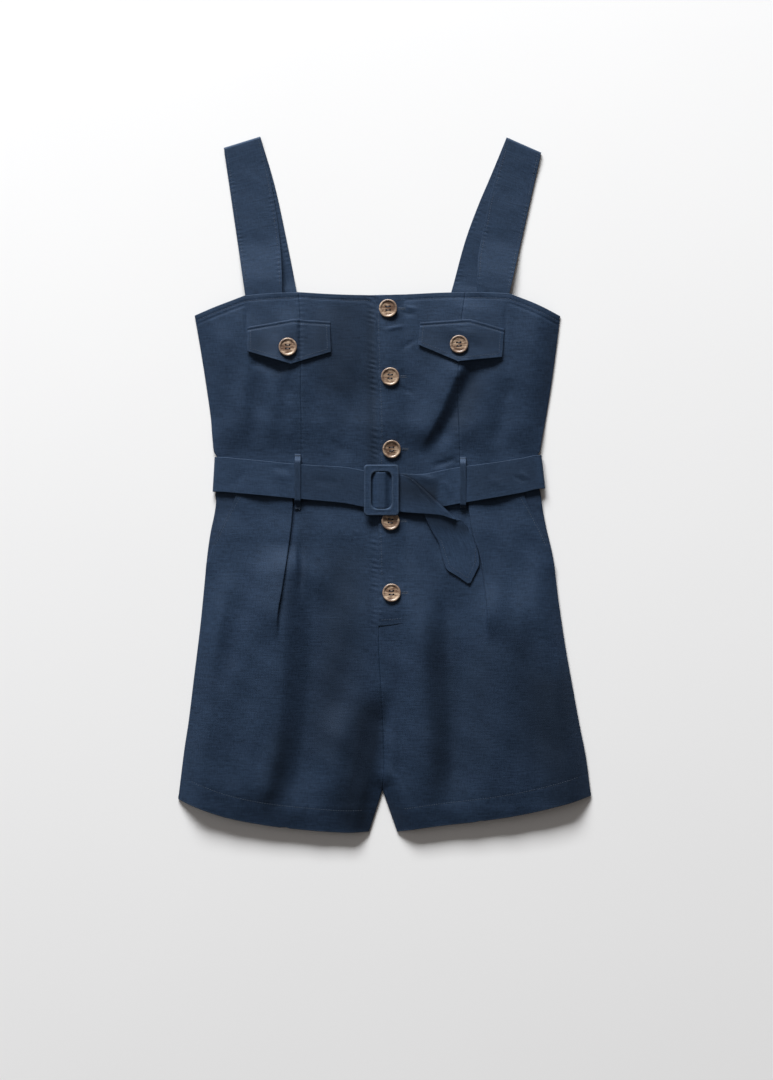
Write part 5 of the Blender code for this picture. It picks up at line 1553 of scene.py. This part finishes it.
def capsules(centres, ways, normals, length, radius):
    # small rounded threads, each along its own way
    sides = sewing["sides"]
    ways = ways / np.linalg.norm(ways, axis=1)[:, None]
    across = np.cross(normals, ways)
    across /= np.linalg.norm(across, axis=1)[:, None]
    angle = 2 * math.pi * np.arange(sides) / sides
    rings = []
    for at, size, lift in ((-0.5, 0.35, -0.7), (-0.3, 1.0, 0.3), (0.3, 1.0, 0.3), (0.5, 0.35, -0.7)):
        middle = centres + ways * at * length + normals * lift * radius
        ring = (across[:, None] * np.cos(angle)[None, :, None] + normals[:, None] * np.sin(angle)[None, :, None])
        rings.append(middle[:, None] + ring * size * radius)
    points = np.stack(rings, 1).reshape(-1, 3)
    each = np.arange(4 * sides).reshape(4, sides)
    turned = np.roll(each, -1, axis=1)
    quads = np.stack([each[:-1], turned[:-1], turned[1:], each[1:]], -1).reshape(-1, 4)
    start = 4 * sides * np.arange(len(centres))
    faces = (start[:, None, None] + quads[None]).reshape(-1, 4).tolist()
    for cap in (each[0][::-1], each[-1]):
        faces += (start[:, None] + cap[None]).tolist()
    return points, faces


def evenly(line, pitch):
    # stitch places and their two ends along a line of points
    line, gap = np.asarray(line, float), 0.5
    run = runOf(line)
    count = max(1, int((run[-1] - gap) / pitch))
    at = gap + pitch * (np.arange(count) + 0.5)
    half = 0.5 * sewing["length"]

    def place(s):
        return np.stack([np.interp(s, run, line[:, k]) for k in range(line.shape[1])], 1)
    return place(at), place(at - half), place(at + half)


def sewnOn(pieceName, line):
    middle, before, after = evenly(line, sewing["pitch"])
    a, b = dropped(pieceName, before)[0], dropped(pieceName, after)[0]
    points, normals = dropped(pieceName, middle)
    kept = np.isfinite(points[:, 2] + a[:, 2] + b[:, 2]) & (np.abs(a[:, 2] - b[:, 2]) < 1.2)
    return points[kept], (b - a)[kept], normals[kept]


def sideBySide(pieceName, places, way):
    # stitches that all go the same way, as in a bar tack
    points, normals = dropped(pieceName, places)
    kept = np.isfinite(points[:, 2])
    return points[kept], np.tile(way, (int(kept.sum()), 1)), normals[kept]


def sewnStrip(form, first, last, inset):
    # a row of stitches along a strip, between two shares of its length
    share = np.linspace(first, last, 400)
    inset = inset / form["width"] if inset > 0 else 1.0 + inset / form["width"]
    points, normals = onStrip(form, share, np.full(len(share), inset))
    both = np.hstack([points, normals])
    run = runOf(points)
    at = sewing["pitch"] * (np.arange(int(run[-1] / sewing["pitch"])) + 0.5)
    middle = np.stack([np.interp(at, run, both[:, k]) for k in range(6)], 1)
    ways = np.stack([np.interp(at + 0.5, run, points[:, k]) - np.interp(at - 0.5, run, points[:, k])
                     for k in range(3)], 1)
    return middle[:, :3], ways, middle[:, 3:]


def threadPiece(name, parts, length=None, radius=None):
    centres, ways, normals = (np.concatenate([part[k] for part in parts]) for k in range(3))
    ways = ways / np.linalg.norm(ways, axis=1)[:, None]
    ways = ways + sewing["slant"] * np.cross(normals, ways)
    points, faces = capsules(centres, ways, normals, length or sewing["length"], radius or sewing["radius"])
    finish(makePiece(name, points, faces, navyThread))


def inside(corners, distance, closed=False):
    # a line drawn parallel inside corners that go clockwise
    corners = np.asarray(corners, float)
    count = len(corners)
    movedSides = []
    for i in range(count if closed else count - 1):
        a, b = corners[i], corners[(i + 1) % count]
        way = (b - a) / np.linalg.norm(b - a)
        shift = np.array([way[1], -way[0]]) * distance
        movedSides.append((a + shift, way))
    out = [] if closed else [movedSides[0][0]]
    pairs = zip(movedSides, movedSides[1:] + (movedSides[:1] if closed else []))
    for (a, u), (b, v) in pairs:
        cross = u[0] * v[1] - u[1] * v[0]
        if abs(cross) < 1e-6:
            out.append(b)
            continue
        t = ((b[0] - a[0]) * v[1] - (b[1] - a[1]) * v[0]) / cross
        out.append(a + u * t)
    if not closed:
        shift = np.array([movedSides[-1][1][1], -movedSides[-1][1][0]]) * distance
        out.append(corners[-1] + shift)
    else:
        out.append(out[0])
    return np.array(out)


def parallel(line, distance):
    # a line beside another, to the right of its way
    line = np.asarray(line, float)[:, :2]
    way = np.gradient(line, axis=0)
    way /= np.linalg.norm(way, axis=1)[:, None]
    return line + np.stack([way[:, 1], -way[:, 0]], 1) * distance


def makeSewing():
    down, up = sewing["neckDown"], -sewing["hemUp"]
    threadPiece("hemStitches", [sewnOn("legFrontLeft", parallel(hemLines["left"], up)[3:-3]),
                                sewnOn("legFrontRight", parallel(hemLines["right"], -up)[3:-3])])
    neck = parallel(necklineAll, down)
    rows = []
    for piece, first, last in (("bodiceSideLeft", -210, -96.4), ("bodiceCentreLeft", -93.0, -10.5),
                               ("bodiceCentreRight", 33.0, 86.5), ("bodiceSideRight", 90.2, 195)):
        rows.append(sewnOn(piece, neck[(neck[:, 0] > first) & (neck[:, 0] < last)]))
    threadPiece("necklineStitches", rows)
    free = parallel(placketFree, -sewing["standIn"])
    neckPart = neck[(neck[:, 0] > -7.0) & (neck[:, 0] < 24.0)]
    threadPiece("buttonStandStitches", [sewnOn("buttonStand", line)
                                        for line in (free[3:-12], sewing["standEnd"], neckPart)])
    rows = []
    for side, label, _ in bothSides:
        t = flapTable[side]
        rows.append(sewnOn(f"flap{label}", inside(t["top"] + t["low"][::-1], sewing["flapIn"], closed=True)))
    threadPiece("flapStitches", rows)
    threadPiece("pocketStitches", [sewnOn("legFrontLeft", sewing["pocketLeft"]),
                                   sewnOn("legFrontRight", sewing["pocketRight"])])
    threadPiece("strapStitches", [sewnStrip(forms["strap" + label], *sewing["strapShares"], inset)
                                  for _, label, _ in bothSides for inset in (sewing["strapIn"], -sewing["strapIn"])])
    form = forms["belt"]
    total = form["at"][-1]
    rows = []
    for inset in (sewing["beltIn"], -sewing["beltIn"]):
        rows.append(sewnStrip(form, sewing["beltFrom"], beltParts["rightTo"] / total, inset))
        rows.append(sewnStrip(form, beltParts["leftFrom"] / total, beltParts["leftTo"] / total, inset))
    rows.append(sewnOn("waistBelt", inside(sewing["tail"], sewing["tailIn"])))
    threadPiece("beltStitches", rows)
    # bar tacks at the ends of the loops and the stitched ends of the buttonholes beside the buttons
    rows = []
    for side, label, _ in bothSides:
        t = loopTable[side]
        for y in (t["top"] - 1.2, t["top"] - 2.0, t["low"] + 1.2, t["low"] + 2.0):
            xs = np.linspace(t["x"] - 2.3, t["x"] + 2.3, 4)
            rows.append(sideBySide("loop" + label, [(x, y) for x in xs], [1.0, 0.0, 0.0]))
    threadPiece("loopTacks", rows, length=1.5)
    rows = []
    for x, y in placketButtons:
        xs = np.arange(x + sewing["buttonholeFrom"], x + sewing["buttonholeTo"], 0.62)
        for offset in (-0.75, 0.75):
            rows.append(sideBySide("buttonStand", [(px, y + offset) for px in xs], [0.0, 1.0, 0.0]))
    threadPiece("buttonholeStitches", rows, length=1.3, radius=0.2)
    # thread through the buttons
    rows = []
    for x, y, base, tiltY in buttonPlaces:
        for sy in (-1, 1):
            rows.append((np.array([[x, y + sy * buttonTable["holeStep"], base + 1.5]]), np.array([[1.0, 0.0, -tiltY]]),
                         np.array([[0.0, 0.0, 1.0]])))
    threadPiece("buttonThreads", rows, length=4.2, radius=0.3)


makeSewing()
print("sewing made")


# floor, light, camera
def makeFloor():
    mesh = bpy.data.meshes.new("paleFloor")
    net = bmesh.new()
    bmesh.ops.create_grid(net, x_segments=8, y_segments=8, size=4.0)
    for vertex in net.verts:
        vertex.co.z = -0.0002
    net.to_mesh(mesh)
    net.free()
    floor = newObject("paleFloor", mesh)
    material, tree, shader = newMaterial("paleBoard")
    where = tree.nodes.new("ShaderNodeTexCoord")
    tone = mixed(tree, noise(tree, where.outputs["Object"], 2.5, 2.0), *studio["floor"])
    tree.links.new(tone, shader.inputs["Base Color"])
    shader.inputs["Roughness"].default_value = 0.9
    shader.inputs["Specular IOR Level"].default_value = 0.1
    mesh.materials.append(material)


# way to each light seen from above, height in degrees, distance, width, height, power
studio = {
    "softTop": {"way": (-0.22, 0.975), "rise": 23.0, "far": 7.5, "size": (4.4, 2.1), "power": 1345.0},
    "softLeft": {"way": (-0.97, 0.25), "rise": 40.0, "far": 5.0, "size": (3.2, 3.2), "power": 20.0},
    "fill": 0.13, "fillColour": (1.0, 0.90, 0.83),
    "floor": ((0.798, 0.808, 0.818, 1), (0.826, 0.836, 0.846, 1)),
}
view = {"x": 2.09, "y": -61.6, "height": 2700.0, "frameHigh": 1188.0}


def makeLights():
    for name in ("softTop", "softLeft"):
        row = studio[name]
        data = bpy.data.lights.new(name, "AREA")
        data.shape = "RECTANGLE"
        data.size, data.size_y = row["size"]
        data.energy = row["power"]
        lamp = newObject(name, data)
        a = math.radians(row["rise"])
        level = Vector((row["way"][0], row["way"][1], 0.0)).normalized() * math.cos(a)
        place = Vector((level.x, level.y, math.sin(a))) * row["far"]
        lamp.location = place
        lamp.rotation_euler = (-place).to_track_quat("-Z", "Y").to_euler()
    world = bpy.data.worlds.new("paleStudio")
    world.use_nodes = True
    world.node_tree.nodes["Background"].inputs["Color"].default_value = (*studio["fillColour"], 1)
    world.node_tree.nodes["Background"].inputs["Strength"].default_value = studio["fill"]
    bpy.context.scene.world = world


def makeCamera():
    data = bpy.data.cameras.new("overhead")
    data.sensor_fit = "VERTICAL"
    data.sensor_height = 36.0
    data.lens = 36.0 * view["height"] / view["frameHigh"]
    data.clip_end = 50.0
    camera = newObject("overhead", data)
    camera.location = (view["x"] * mm, view["y"] * mm, view["height"] * mm)
    bpy.context.scene.camera = camera


makeFloor()
makeLights()
makeCamera()
bpy.context.scene.view_settings.view_transform = "Standard"
print("studio made")
